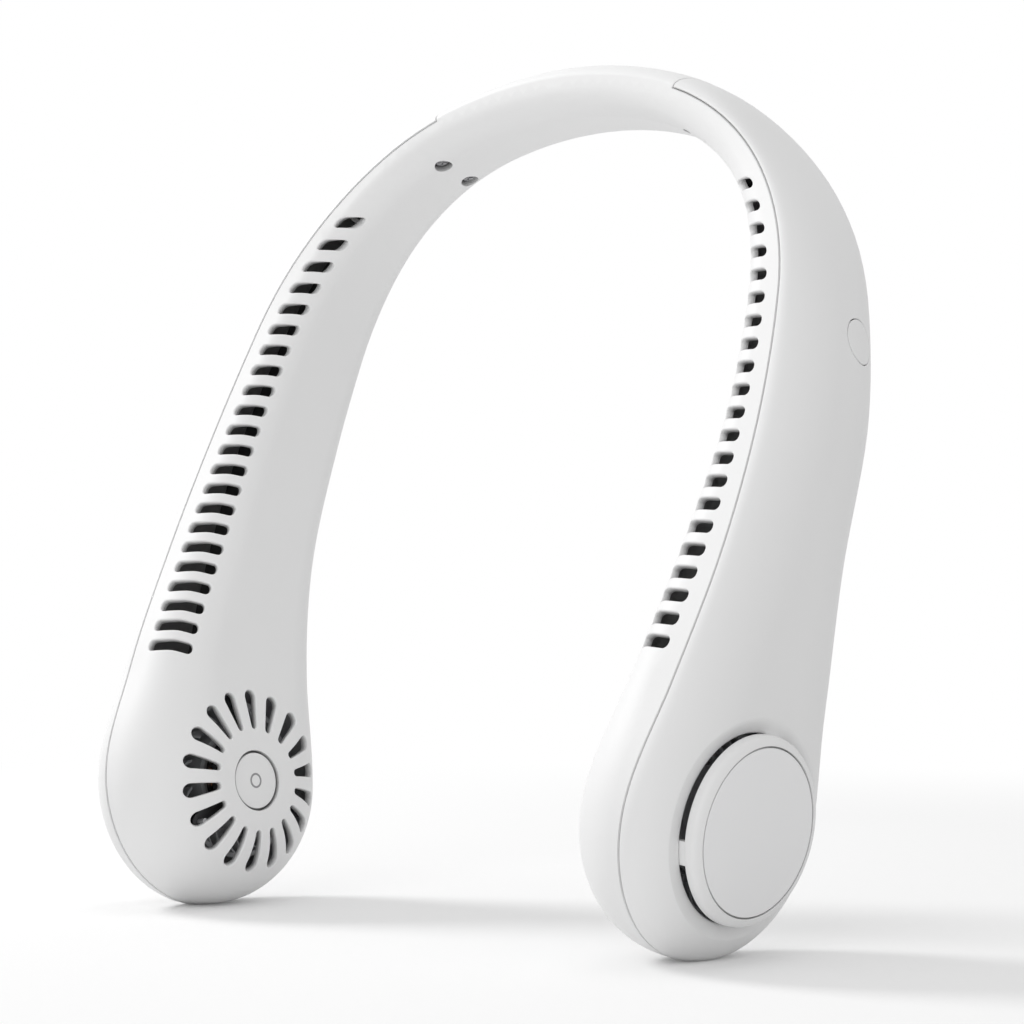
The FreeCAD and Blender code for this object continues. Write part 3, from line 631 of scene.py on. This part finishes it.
def slotLoop(height, share):
    # level slot outline: from the front edge wall round on to the bend of the inner face
    low, high = 0.0, armLength
    for _ in range(halvings):
        s = (low + high) / 2
        low, high = (s, high) if float(seamAt(np.array(s))[1]) < height else (low, s)
    middle, flat, bend, rise, curve, edge = [float(v) for v in innerSide.parts(np.array(s))]
    start = slots["startLow"] + (slots["startHigh"] - slots["startLow"]) * share
    reach = slots["reachLow"] + (slots["reachHigh"] - slots["reachLow"]) * share
    end = edge + bend * math.acos(max(0.0, 1 - reach / bend))
    tall = slots["width"] / 2
    corner = slots["round"]
    outline = []
    for k, (r, h) in enumerate(((end - corner, tall - corner), (start + corner, tall - corner),
                                (start + corner, corner - tall), (end - corner, corner - tall))):
        outline += cornerArc(k, r, h, corner)
        if k % 2 == 0:
            near, level = outline[-1]
            far = end - corner if k else start + corner
            outline += [(near + (far - near) * step, level) for step in np.linspace(0, 1, 9)[1:-1]]
    outline = np.array(outline)
    knee = start + slots["knee"] * (end - start)
    along = outline[:, 0]
    past = np.clip((along - knee) / (end - knee), 0, 1)
    outline[:, 1] += (1 - share) * (slots["tilt"] * (np.minimum(along, knee) - start) - slots["sink"])
    outline[:, 1] -= (1 - share) * slots["droop"] * past ** slots["bow"]
    a = s + outline[:, 1]
    for _ in range(settling):
        b = along - innerSide.half(a)
        a = a + 0.9 * (height + outline[:, 1] - heightOf(innerSide.point(a, b)))
    # the far end of the upper slots leans in towards the seam
    foot = along - slots["pull"] * share * past
    return [np.stack([a, r - innerSide.half(a)], -1)[::-1] for r in (along, foot)]


def teardropLoop(angle):
    wide = grille["wide"] / 2
    narrow = grille["narrow"] / 2
    far = grille["outside"] - wide
    near = grille["inside"] + narrow
    turns = np.linspace(-math.pi / 2, math.pi / 2, 11)
    flank = np.linspace(0, 1, 10)[1:-1]
    points = [(far + wide * math.cos(t), wide * math.sin(t)) for t in turns]
    points += [(far + (near - far) * k, wide + (narrow - wide) * k) for k in flank]
    points += [(near - narrow * math.cos(t), -narrow * math.sin(t)) for t in turns[::2]]
    points += [(near + (far - near) * k, -narrow - (wide - narrow) * k) for k in flank]
    points = np.array(points)
    x = points[:, 0] * math.cos(angle) - points[:, 1] * math.sin(angle)
    y = points[:, 0] * math.sin(angle) + points[:, 1] * math.cos(angle)
    return innerSide.unroll(y - grille["drop"] + grille["up"], x + grille["back"])


def circleLoop(side, s, y, radius, count):
    turns = np.linspace(0, 2 * math.pi, count, endpoint=False)
    return side.unroll(s + radius * np.sin(turns), y + radius * np.cos(turns))


def screwSpots():
    # the front screw stands a little nearer to the crown than the back one
    spots = []
    for edge, shift, inset in (("front", caseScrew["ahead"], caseScrew["fromFront"]),
                               ("back", caseScrew["behind"], -caseScrew["fromBack"])):
        s = caseScrew["at"] + shift
        spots.append((s, float(sizesAt(np.array(s))[edge]) + inset))
    return spots


def socketLoop():
    half = float(innerSide.half(np.array(socket["at"])))
    long = socket["length"] / 2 - socket["round"]
    tall = socket["height"] / 2 - socket["round"]
    points = []
    for k, (x, y) in enumerate(((long, tall), (-long, tall), (-long, -tall), (long, -tall))):
        points += cornerArc(k, socket["at"] + x, half - socket["depth"] + y, socket["round"])
    return np.array(points)


def gridRow(side, s, margin, counts):
    b = side.across(s, margin, counts)[:-1]
    return [(s, v) for v in b] + [(s, -v) for v in b[1:]]


def wholeRow(half):
    return np.concatenate([-half[::-1], half[1:]])


def sideGrid(side, rows, margin, counts):
    # grid points over the arm and, below it, over the half pod
    points = []
    for s in rows:
        points += gridRow(side, s, margin(s), counts)
    steps = side.across(0.0, margin(0.0), counts)[1:-1]
    for t in np.linspace(0, math.pi, podSteps + 1)[1:-1]:
        points += [(-r * math.sin(t), r * math.cos(t)) for r in steps]
    return np.array(points)


def rimLine(side, rows, inset):
    # edge of the side from the top of the back, down round the pod and up the front
    half = side.half(rows) - inset(rows)
    radius = float(side.half(np.array(0.0)) - inset(np.array(0.0)))
    turns = np.linspace(0, math.pi, podSteps + 1)[1:-1]
    back = np.stack([rows[::-1], half[::-1]], -1)
    low = np.stack([-radius * np.sin(turns), radius * np.cos(turns)], -1)
    front = np.stack([rows, -half], -1)
    return np.concatenate([back, low, front])


# rows and points of the skins' grids
coverEnd = arm["coverEnd"]
fineness = {"podSteps": 56, "armRows": 92, "bandRows": 20, "frameCounts": (10, 13, 5), "bandCounts": (6, 14, 3),
            "coverCounts": (8, 16, 3), "coverRows": 96, "stop": 0.7, "lastRow": 0.25}
podSteps = fineness["podSteps"]
bandRows = np.linspace(coverEnd + seam["gap"] + seam["lip"], armLength, fineness["bandRows"])
armRows = np.linspace(0, coverEnd - fineness["stop"], fineness["armRows"])
frameRows = np.concatenate([armRows, [coverEnd - fineness["lastRow"], coverEnd], bandRows])


def seamFade(s):
    # the seam's groove ends where the cover does
    return np.clip((bandRows[0] - s) / (bandRows[0] - coverEnd), 0, 1)


def seamInset(share):
    return lambda s: (seam["gap"] + seam["lip"] * share) * seamFade(np.asarray(s, float))


def frameOpenings(heights, withSocket):
    # loop, loop at the foot of the wall, lip and, for a blind recess, its depth
    loops = []
    for k, height in enumerate(heights):
        loops.append(slotLoop(height, k / (len(heights) - 1)) + [slots["lip"], None])
    for k in range(grille["count"]):
        angle = math.radians(90 + grille["turn"] + 360 * k / grille["count"])
        loops.append([teardropLoop(angle), None, grille["lip"], None])
    seat = circleLoop(innerSide, -grille["drop"], 0.0, badge["radius"] + badge["gap"], badge["points"])
    loops.append([seat, None, badge["lip"], badge["deep"]])
    for s, y in screwSpots():
        bore = circleLoop(innerSide, s, y, caseScrew["bore"], caseScrew["points"])
        loops.append([bore, None, caseScrew["lip"], caseScrew["deep"]])
    if withSocket:
        loops.append([socketLoop(), None, socket["lip"], None])
    return [loopOut(loop) + (foot, lip, floor) for loop, foot, lip, floor in loops]


def frameHalf(heights, withSocket):
    skin = Skin()
    counts = fineness["frameCounts"]
    full = seamInset(1.0)
    rim = rimLine(innerSide, frameRows, full)
    crown = [(armLength, b) for b in wholeRow(innerSide.across(armLength, 0.0, counts)[:-1])]
    grid = sideGrid(innerSide, frameRows[:-1][::2], lambda s: float(full(s)), counts)
    openings = frameOpenings(heights, withSocket)
    holes = [loop + out * lip for loop, out, foot, lip, floor in openings]
    rings = patch(skin, innerSide, grid, np.concatenate([rim, crown]), holes)
    for (top, under), (loop, out, foot, lip, floor) in zip(rings[1:], openings):
        # blind recesses, the badge seat and screw bores, get painted shade down their walls
        rolled(skin, innerSide, top, under, loop, out, lip, foot, floor, 1.0 if floor else 0.0)
    # seam edge: rounded, then square in to the inside of the wall, with painted shade growing along the lip
    top, under = rings[0]
    fade = np.concatenate([seamFade(frameRows[::-1]), np.ones(podSteps - 1), seamFade(frameRows)])

    def seamRow(across, down, done):
        line = rimLine(innerSide, frameRows, seamInset(across))
        row = skin.put(innerSide.sunk(line, seam["lip"] * down * fade), paintedLipShade["seam"] * done * fade)
        return [row[n] if fade[n] > 0 else top[n] for n in range(len(row))]

    ring = skin.roll(top[:len(rim)], seamRow, closed=False)
    last = skin.put(innerSide.sunk(rimLine(innerSide, frameRows, seamInset(0.0)), wall), 1.0)
    cut = fade > 0.99
    for k in np.where(cut[:-1] & cut[1:])[0]:
        skin.faces.append((ring[k], ring[k + 1], last[k + 1], last[k]))
        skin.faces.append((last[k], last[k + 1], under[k + 1], under[k]))
    bandFace(skin)
    return skin


def bandFace(skin):
    # outer face of the band, from the end of the cover to the crown
    counts = fineness["bandCounts"]
    points = []
    for s in bandRows[1:-1]:
        points += gridRow(outerSide, s, 0.0, counts)
    startRow = np.array([(bandRows[0], b) for b in wholeRow(outerSide.across(bandRows[0], 0.0, counts))])
    endRow = [(armLength, -b) for b in wholeRow(outerSide.across(armLength, 0.0, counts))]
    halves = outerSide.half(bandRows)
    rim = np.concatenate([startRow, np.stack([bandRows, halves], -1)[1:-1], endRow,
                          np.stack([bandRows, -halves], -1)[::-1][1:-1]])
    top, under = patch(skin, outerSide, np.array(points), rim, [])[0]

    # painted shade grows along the seam's lip
    def lipRow(across, down, done):
        line = startRow - (seam["lip"] * (1 - across), 0)
        return skin.put(outerSide.sunk(line, seam["lip"] * down), paintedLipShade["seam"] * done)

    ring = skin.roll(top[:len(startRow)], lipRow, True, False)
    last = skin.put(outerSide.sunk(startRow - (seam["lip"], 0), wall), 1.0)
    skin.strip(ring, last, True, False)
    skin.strip(last, under[:len(startRow)], True, False)


innerFrame = frameHalf(slotHeights(slots["firstRight"], slots["countRight"]), True)
innerFrame.join(frameHalf(slotHeights(slots["firstLeft"], slots["countLeft"]), False).mirrored())
casingPiece("inner_frame_skin", innerFrame, "inner_frame")


# outer covers
dish = {"outside": 25.4, "intake": 21.5, "level": 8.5, "lip": 0.35, "wallTo": 7.64, "collar": 2.2,
        "points": 120}
button = {"at": 113.3, "fromBack": 11.4, "radius": 5.3, "gap": 0.24, "lip": 0.16, "edge": 0.16, "deep": 2.2,
          "rings": (1.3, 2.6, 3.9), "points": 56}
buttonAcross = float(sizesAt(np.array(button["at"]))["back"]) - button["fromBack"]


def buttonLoop(radius):
    return circleLoop(outerSide, button["at"], buttonAcross, radius, button["points"])


def podPoint(r, angle, level, drop=0.0):
    # point round the pod axis: angle 0 at the back, 90 degrees up the arm
    return armPoint(r * np.sin(angle) - drop, r * np.cos(angle), level + 0 * r * angle)


def coverSkin(withButton):
    skin = Skin()
    counts = fineness["coverCounts"]
    rows = np.linspace(0, 1, fineness["coverRows"])

    def loopAt(share):
        inset = seam["gap"] + seam["lip"] * share
        heights = rows * (coverEnd - inset)
        line = rimLine(outerSide, heights, lambda s: inset + 0 * s)
        across = wholeRow(outerSide.across(heights[-1], inset, counts))[1:-1]
        return np.concatenate([line, [(heights[-1], b) for b in across]])

    margin = seam["gap"] + seam["lip"]
    heights = rows * (coverEnd - seam["gap"] - seam["lip"])
    grid = sideGrid(outerSide, heights[:-1][::2], lambda s: margin, counts)
    turns = np.linspace(0, 2 * math.pi, dish["points"], endpoint=False)
    mouth = circleLoop(outerSide, 0.0, 0.0, dish["outside"], dish["points"])
    holes = [mouth]
    if withButton:
        loop, out = loopOut(buttonLoop(button["radius"] + button["gap"]))
        holes.append(loop + out * button["lip"])
    rings = patch(skin, outerSide, grid, loopAt(1.0), holes)
    if withButton:
        rolled(skin, outerSide, *rings[2], loop, out, button["lip"])

    def podRow(r, level, inside=0.0):
        return skin.put(podPoint(r + 0 * turns, turns, level), inside)

    # dished ring that runs down to the intake; the collar inside the intake gets full painted shade
    ring, under = rings[1]
    height = (outerSide.sunk(mouth, 0) - podCentre) @ podAxis
    for t in np.linspace(0, 1, 9)[1:]:
        r = dish["outside"] + (dish["intake"] + dish["lip"] - dish["outside"]) * t
        ring = skin.strip(ring, podRow(r, height + (dish["level"] - height) * (t * t * (3 - 2 * t))))

    def lipRow(across, down, done):
        return podRow(dish["intake"] + dish["lip"] * across, dish["level"] - dish["lip"] * down)

    ring = skin.roll(ring, lipRow)
    for r in (dish["intake"], dish["intake"] + dish["collar"]):
        ring = skin.strip(ring, podRow(r, dish["wallTo"], 1.0))
    skin.strip(ring, under)

    # seam lip with painted shade growing along it
    def seamRow(across, down, done):
        return skin.put(outerSide.sunk(loopAt(across), seam["lip"] * down), paintedLipShade["seam"] * done)

    top, under = rings[0]
    ring = skin.roll(top, seamRow, True)
    last = skin.strip(ring, skin.put(outerSide.sunk(loopAt(0.0), wall), 1.0), True)
    skin.strip(last, under, True)
    return skin


for name, side in bothSides:
    cover = coverSkin(True) if side > 0 else coverSkin(False).mirrored()
    casingPiece("outer_cover_skin_" + name, cover, "outer_cover_" + name)


# spun pieces on the pods
def rounded(corners, steps=5):
    # profile with its corners rounded: each corner is radius, height and rounding
    points = []
    for k, (r, h, bend) in enumerate(corners):
        here = np.array([r, h], float)
        if bend <= 0 or k in (0, len(corners) - 1):
            points.append(here)
            continue
        before = np.array(corners[k - 1][:2], float) - here
        after = np.array(corners[k + 1][:2], float) - here
        reach = min(bend, 0.49 * np.linalg.norm(before), 0.49 * np.linalg.norm(after))
        p = here + before / np.linalg.norm(before) * reach
        q = here + after / np.linalg.norm(after) * reach
        for t in np.linspace(0, 1, steps + 1):
            points.append((1 - t) ** 2 * p + 2 * t * (1 - t) * here + t * t * q)
    return points


def spin(profile, count, side=1, drop=0.0):
    # closed mesh of revolution round the pod axis, in the part's frame
    points = []
    faces = []
    turns = np.linspace(0, 2 * math.pi, count, endpoint=False)
    rings = []
    for r, h in profile:
        if r < 1e-6:
            rings.append([len(points)] * count)
            points.append(podPoint(np.array(0.0), np.array(0.0), h, drop))
        else:
            rings.append(list(range(len(points), len(points) + count)))
            points += list(podPoint(r + 0 * turns, turns, h, drop))
    for a, b in zip(rings, rings[1:]):
        for k in range(count):
            j = (k + 1) % count
            face = tuple(dict.fromkeys((a[k], b[k], b[j], a[j])))
            if len(face) > 2:
                faces.append(face)
    return sided(points, faces, side)


def sided(points, faces, side):
    if side > 0:
        return points, faces
    return [p * mirror for p in points], [f[::-1] for f in faces]


cap = {"radius": 21.6, "rim": 9.95, "corner": 12.6, "top": 13.5, "face": 12.5, "pocket": 19.4, "inside": 20.2,
       "under": 11.1, "rounds": (0.4, 0.3, 0.35, 2.6, 0.22), "points": 128}
capDisc = {"radius": 19.0, "low": 12.5, "top": 13.38, "edge": 0.2}
leg = {"count": 3, "first": 199.0, "width": 5.5, "out": 21.4, "thick": 1.6, "footLow": 6.24, "footTop": 7.64,
       "footOut": 23.3, "top": 11.8}


def capProfile():
    ceiling, rimIn, rimOut, shoulder, brim = cap["rounds"]
    return rounded([(0, cap["under"], 0), (cap["inside"], cap["under"], ceiling),
                    (cap["inside"], cap["rim"], rimIn), (cap["radius"], cap["rim"], rimOut),
                    (cap["radius"], cap["corner"], shoulder),
                    (cap["pocket"], cap["top"], brim), (cap["pocket"], cap["face"], 0), (0, cap["face"], 0)])


def ringBlock(angle, near, far, low, high):
    # short curved block round the pod axis
    turns = np.linspace(-0.5, 0.5, 7) * leg["width"] / leg["out"] + angle
    points = []
    for r, h in ((near, low), (far, low), (far, high), (near, high)):
        points += list(podPoint(r + 0 * turns, turns, h))
    n = len(turns)
    faces = []
    for k in range(4):
        a, b = k * n, (k + 1) % 4 * n
        faces += [(a + j, a + j + 1, b + j + 1, b + j) for j in range(n - 1)]
    faces.append((0, n, 2 * n, 3 * n))
    faces.append((4 * n - 1, 3 * n - 1, 2 * n - 1, n - 1))
    return points, faces


for name, side in bothSides:
    points, faces = spin(capProfile(), cap["points"])
    # painted shade on the pocket floor, seen as the dark line round the disc
    paintedGrooveShade = [float(abs((p - podCentre) @ podAxis - cap["face"]) < 0.01) for p in points]
    for k in range(leg["count"]):
        angle = math.radians(leg["first"] + 360 / leg["count"] * k)
        near = leg["out"] - leg["thick"]
        for block in (ringBlock(angle, near, leg["out"], leg["footTop"], leg["top"]),
                      ringBlock(angle, near, leg["footOut"], leg["footLow"], leg["footTop"])):
            faces += [tuple(v + len(points) for v in f) for f in block[1]]
            points += block[0]
            paintedGrooveShade += [0.0] * len(block[0])
    points, faces = sided(points, faces, side)
    meshPiece("intake_cap_shell_" + name, points, faces, white, "casing", ["intake_cap_" + name],
              "white_plastic", paintedGrooveShade)
    profile = rounded([(0, capDisc["low"], 0), (capDisc["radius"], capDisc["low"], 0),
                       (capDisc["radius"], capDisc["top"], capDisc["edge"]), (0, capDisc["top"], 0)])
    disc = spin(profile, cap["points"], side)
    meshPiece("cap_disc_face_" + name, *disc, discWhite, "casing", ["cap_disc_" + name], "grey_plastic")


# grille badges with a plain ring as a mark
badgeMark = {"radius": 1.95, "width": 0.5, "proud": 0.05, "sunk": 0.1, "points": 64}
badgeFace = badge["sunk"] - float(sectionRows[0, 3])
badgeSeat = badge["deep"] - float(sectionRows[0, 3])
for name, side in bothSides:
    profile = rounded([(0, badgeFace, 0), (badge["radius"], badgeFace, badge["edge"]),
                       (badge["radius"], badgeSeat, 0), (0, badgeSeat, 0)])
    face = spin(profile, 2 * badge["points"], side, grille["drop"])
    meshPiece("grille_badge_face_" + name, *face, capWhite, "casing", ["grille_badge_" + name], "white_plastic")
    low, high = badgeFace - badgeMark["proud"], badgeFace + badgeMark["sunk"]
    inner, outer = badgeMark["radius"] - badgeMark["width"], badgeMark["radius"]
    profile = [(inner, low), (outer, low), (outer, high), (inner, high), (inner, low)]
    mark = spin(profile, badgeMark["points"], side, grille["drop"])
    meshPiece("badge_mark_" + name, *mark, markGrey, "casing", None, "grey_plastic")


# push button that follows the cover
def buttonSkin():
    skin = Skin()

    def row(radius, depth, flush):
        ab = buttonLoop(radius)
        return skin.put(outerSide.sunk(ab, depth), 0.0, outerSide.normal(ab[:, 0], ab[:, 1]) if flush else None)

    centre = outerSide.unroll(np.array([button["at"]]), np.array([buttonAcross]))
    middle = skin.put(outerSide.sunk(centre, 0), 0.0, outerSide.normal(centre[:, 0], centre[:, 1]))[0]
    lip = button["edge"]
    ring = row(button["rings"][0], 0, True)
    skin.faces += [(middle, ring[k], ring[(k + 1) % len(ring)]) for k in range(len(ring))]
    for radius in button["rings"][1:] + (button["radius"] - lip,):
        ring = skin.strip(ring, row(radius, 0, True), True)

    def lipRow(across, down, done):
        return row(button["radius"] - lip * across, lip * down, False)

    ring = skin.roll(ring, lipRow, True)
    foot = skin.strip(ring, row(button["radius"], button["deep"], False), True)
    skin.faces.append(tuple(foot[::-1]))
    return skin


face = buttonSkin()
meshPiece("power_button_face", face.points, face.faces, capWhite, "button", ["power_button"], "white_plastic",
          exact=face.exact)


# case screws: cross-head screws on four points, each with its own direction
screwHead = {"Head Radius": 2.1, "Top Radius": 1.55, "Head Height": 1.3, "Crown": 0.45, "Shank Radius": 1.0,
             "Shank Length": 8.6, "Cross Width": 0.45, "Cross Reach": 1.35, "Cross Depth": 0.3}


def screwTree():
    screw = Nodes("case_screw_set")
    radius, top, height, crown, shank, length, cross, reach, deep = [
        screw.size(name, value * mm) for name, value in screwHead.items()]
    # z runs from the seat up to the top of the head
    skirt = height - crown
    body = screw.cone(40, radius, radius, skirt)
    dome = screw.lifted(screw.cone(40, radius, top, crown), skirt)
    stem = screw.lifted(screw.cone(24, shank, shank, length + skirt), length * -1.0)
    whole = screw.joined("UNION", {"Mesh 2": [body, dome, stem]})
    long, tall = reach * 2.0, deep * 2.0
    arms = []
    for size in (screw.vector(long, cross, tall), screw.vector(cross, long, tall)):
        arms.append(screw.lifted(screw.add("GeometryNodeMeshCube", {}, {"Size": size})[0], height))
    whole = screw.joined("DIFFERENCE", {"Mesh 1": whole, "Mesh 2": arms})
    way = screw.add("GeometryNodeInputNamedAttribute", {"data_type": "FLOAT_VECTOR"}, {"Name": "outward"})[0]
    turn = screw.add("FunctionNodeAlignRotationToVector", {"axis": "Z"}, {"Vector": way})[0]
    screws = screw.add("GeometryNodeInstanceOnPoints", {}, {"Points": screw.carried, "Instance": whole,
                                                            "Rotation": turn})[0]
    screw.finish(screws, steel)
    return screw


def screwCarrier():
    places = []
    ways = []
    for s, y in screwSpots():
        seat = caseScrew["deep"] - float(sizesAt(np.array(s))["inner"])
        at, below = [armPoint(np.array(s), np.array(y), depth) for depth in (seat, seat + 1.0)]
        for flip in (1, -1):
            places.append(tuple(at * (flip, 1, 1) * mm))
            ways.append((at - below) * (flip, 1, 1))
    mesh = bpy.data.meshes.new("case_screw_places")
    mesh.from_pydata(places, [], [])
    layer = mesh.attributes.new("outward", "FLOAT_VECTOR", "POINT")
    layer.data.foreach_set("vector", np.array(ways, np.float32).ravel())
    return mesh


screwMesh = screwTree().plain("case_screw_heads", screwCarrier())
plainPiece("case_screw_heads", screwMesh, "casing", ["case_screws"])


# finishes of the CAD pieces that stay as they are
finishes = {"white_plastic": capWhite, "grey_plastic": discWhite, "steel": steel,
            "fan_plastic": mouldedPlastic("fan_plastic", 0.48, 0.5, tint=(1.0, 1.02, 1.05)),
            "dark_plastic": mouldedPlastic("dark_plastic", 0.035, 0.45, tint=(1.0, 1.0, 1.05)),
            "lamination_steel": metal("lamination_steel", colour(0.33, 0.33, 0.35), 0.42, 0.05),
            "copper": metal("enamelled_copper", colour(0.72, 0.36, 0.17), 0.3, 6.0),
            "ferrite": mouldedPlastic("ferrite_magnet", 0.09, 0.6, 1.6, (1.0, 1.0, 1.02)),
            "battery_foil": metal("battery_foil", colour(0.66, 0.67, 0.69), 0.36, 0.6),
            "board": mouldedPlastic("solder_mask", 0.2, 0.32, 0.5, (0.25, 1.0, 0.45)),
            "cable_rubber": mouldedPlastic("cable_sleeve", 0.03, 0.6, 1.2)}
# the duct walls get a near-black plastic instead of their slot's finish: painted shade seen through the slots
ductPaintedShade = mouldedPlastic("duct_plastic_painted_shade", 0.08, 0.5)
for part in frame["record"]["subparts"]:
    inDuct = part["node"].startswith("duct_wall")
    for holder in nodes[part["node"]].material_slots:
        holder.material = ductPaintedShade if inDuct else finishes[part["material_slot"]]
print("finishes:", len(finishes), "for the CAD pieces")


# floor, light and camera
light = {"floorHalf": 6, "floorGlow": 0.115, "floorShade": 0.85, "fadeFrom": 0.30, "fadeTo": 0.62, "world": 0.58,
         "aim": (0, 0, 0.09),
         "lamps": {"key_light": ((-1.25, -0.3, 1.05), 0.55, 11.8), "front_light": ((0.5, -1.5, 0.7), 1.2, 4.5),
                   "top_light": ((0.0, 0.1, 1.9), 1.2, 3.4), "side_light": ((1.6, 0.25, 0.6), 1.2, 0.7)}}
view = {"at": (0.48488, -0.53058, 0.08664), "towards": (-0.668406, 0.743478, 0.021049), "lens": 101.42,
        "sensor": 36.0}
wide = light["floorHalf"]
floorMesh = bpy.data.meshes.new("studio_floor")
corners = [(-wide, -wide, 0), (wide, -wide, 0), (wide, wide, 0), (-wide, wide, 0)]
floorMesh.from_pydata(corners, [], [(0, 1, 2, 3)])
floor = bpy.data.objects.new("studio_floor", floorMesh)
scene.collection.objects.link(floor)


def floorPaint():
    # pale floor that keeps the shadow, plain white away from the object, so that no horizon shows
    paint = Paint(bpy.data.materials.new("studio_floor_paint"))
    seen = paint.seen()
    glow = paint.blend(seen, paint.glow(0.0, 0.0), paint.glow(1.0, light["floorGlow"]))
    matte = paint.add("ShaderNodeBsdfDiffuse", {}, {"Color": colour(light["floorShade"])})[0]
    near = paint.add("ShaderNodeAddShader", {}, {0: matte, 1: glow})[0]
    spot = paint.add("ShaderNodeTexCoord")[3]
    away = paint.add("ShaderNodeVectorMath", {"operation": "LENGTH"}, {0: spot})[1]
    fade = paint.add("ShaderNodeMapRange", {"interpolation_type": "SMOOTHSTEP"},
                     {0: away, 1: light["fadeFrom"], 2: light["fadeTo"]})[0]
    return paint.show(paint.blend(seen * fade, near, paint.glow(1.0, 1.0)))


def studioSky():
    # even light on the object, white behind it
    paint = Paint(bpy.data.worlds.new("studio"), "World")
    ambient, backdrop = [paint.add("ShaderNodeBackground", {}, {"Color": colour(1.0), "Strength": strength})[0]
                         for strength in (light["world"], 1.0)]
    return paint.show(paint.blend(paint.seen(), ambient, backdrop))


def aimed(name, data, at, towards):
    holder = bpy.data.objects.new(name, data)
    holder.location = at
    holder.rotation_euler = towards.to_track_quat("-Z", "Y").to_euler()
    scene.collection.objects.link(holder)
    return holder


floorMesh.materials.append(floorPaint())
scene.world = studioSky()
for name, (at, size, power) in light["lamps"].items():
    lamp = bpy.data.lights.new(name, "AREA")
    lamp.shape = "DISK"
    lamp.size = size
    lamp.energy = power
    aimed(name, lamp, at, Vector(light["aim"]) - Vector(at))
cameraData = bpy.data.cameras.new("camera")
cameraData.sensor_width = view["sensor"]
cameraData.lens = view["lens"]
scene.camera = aimed("camera", cameraData, view["at"], Vector(view["towards"]))
print("studio:", len(light["lamps"]), "lamps")
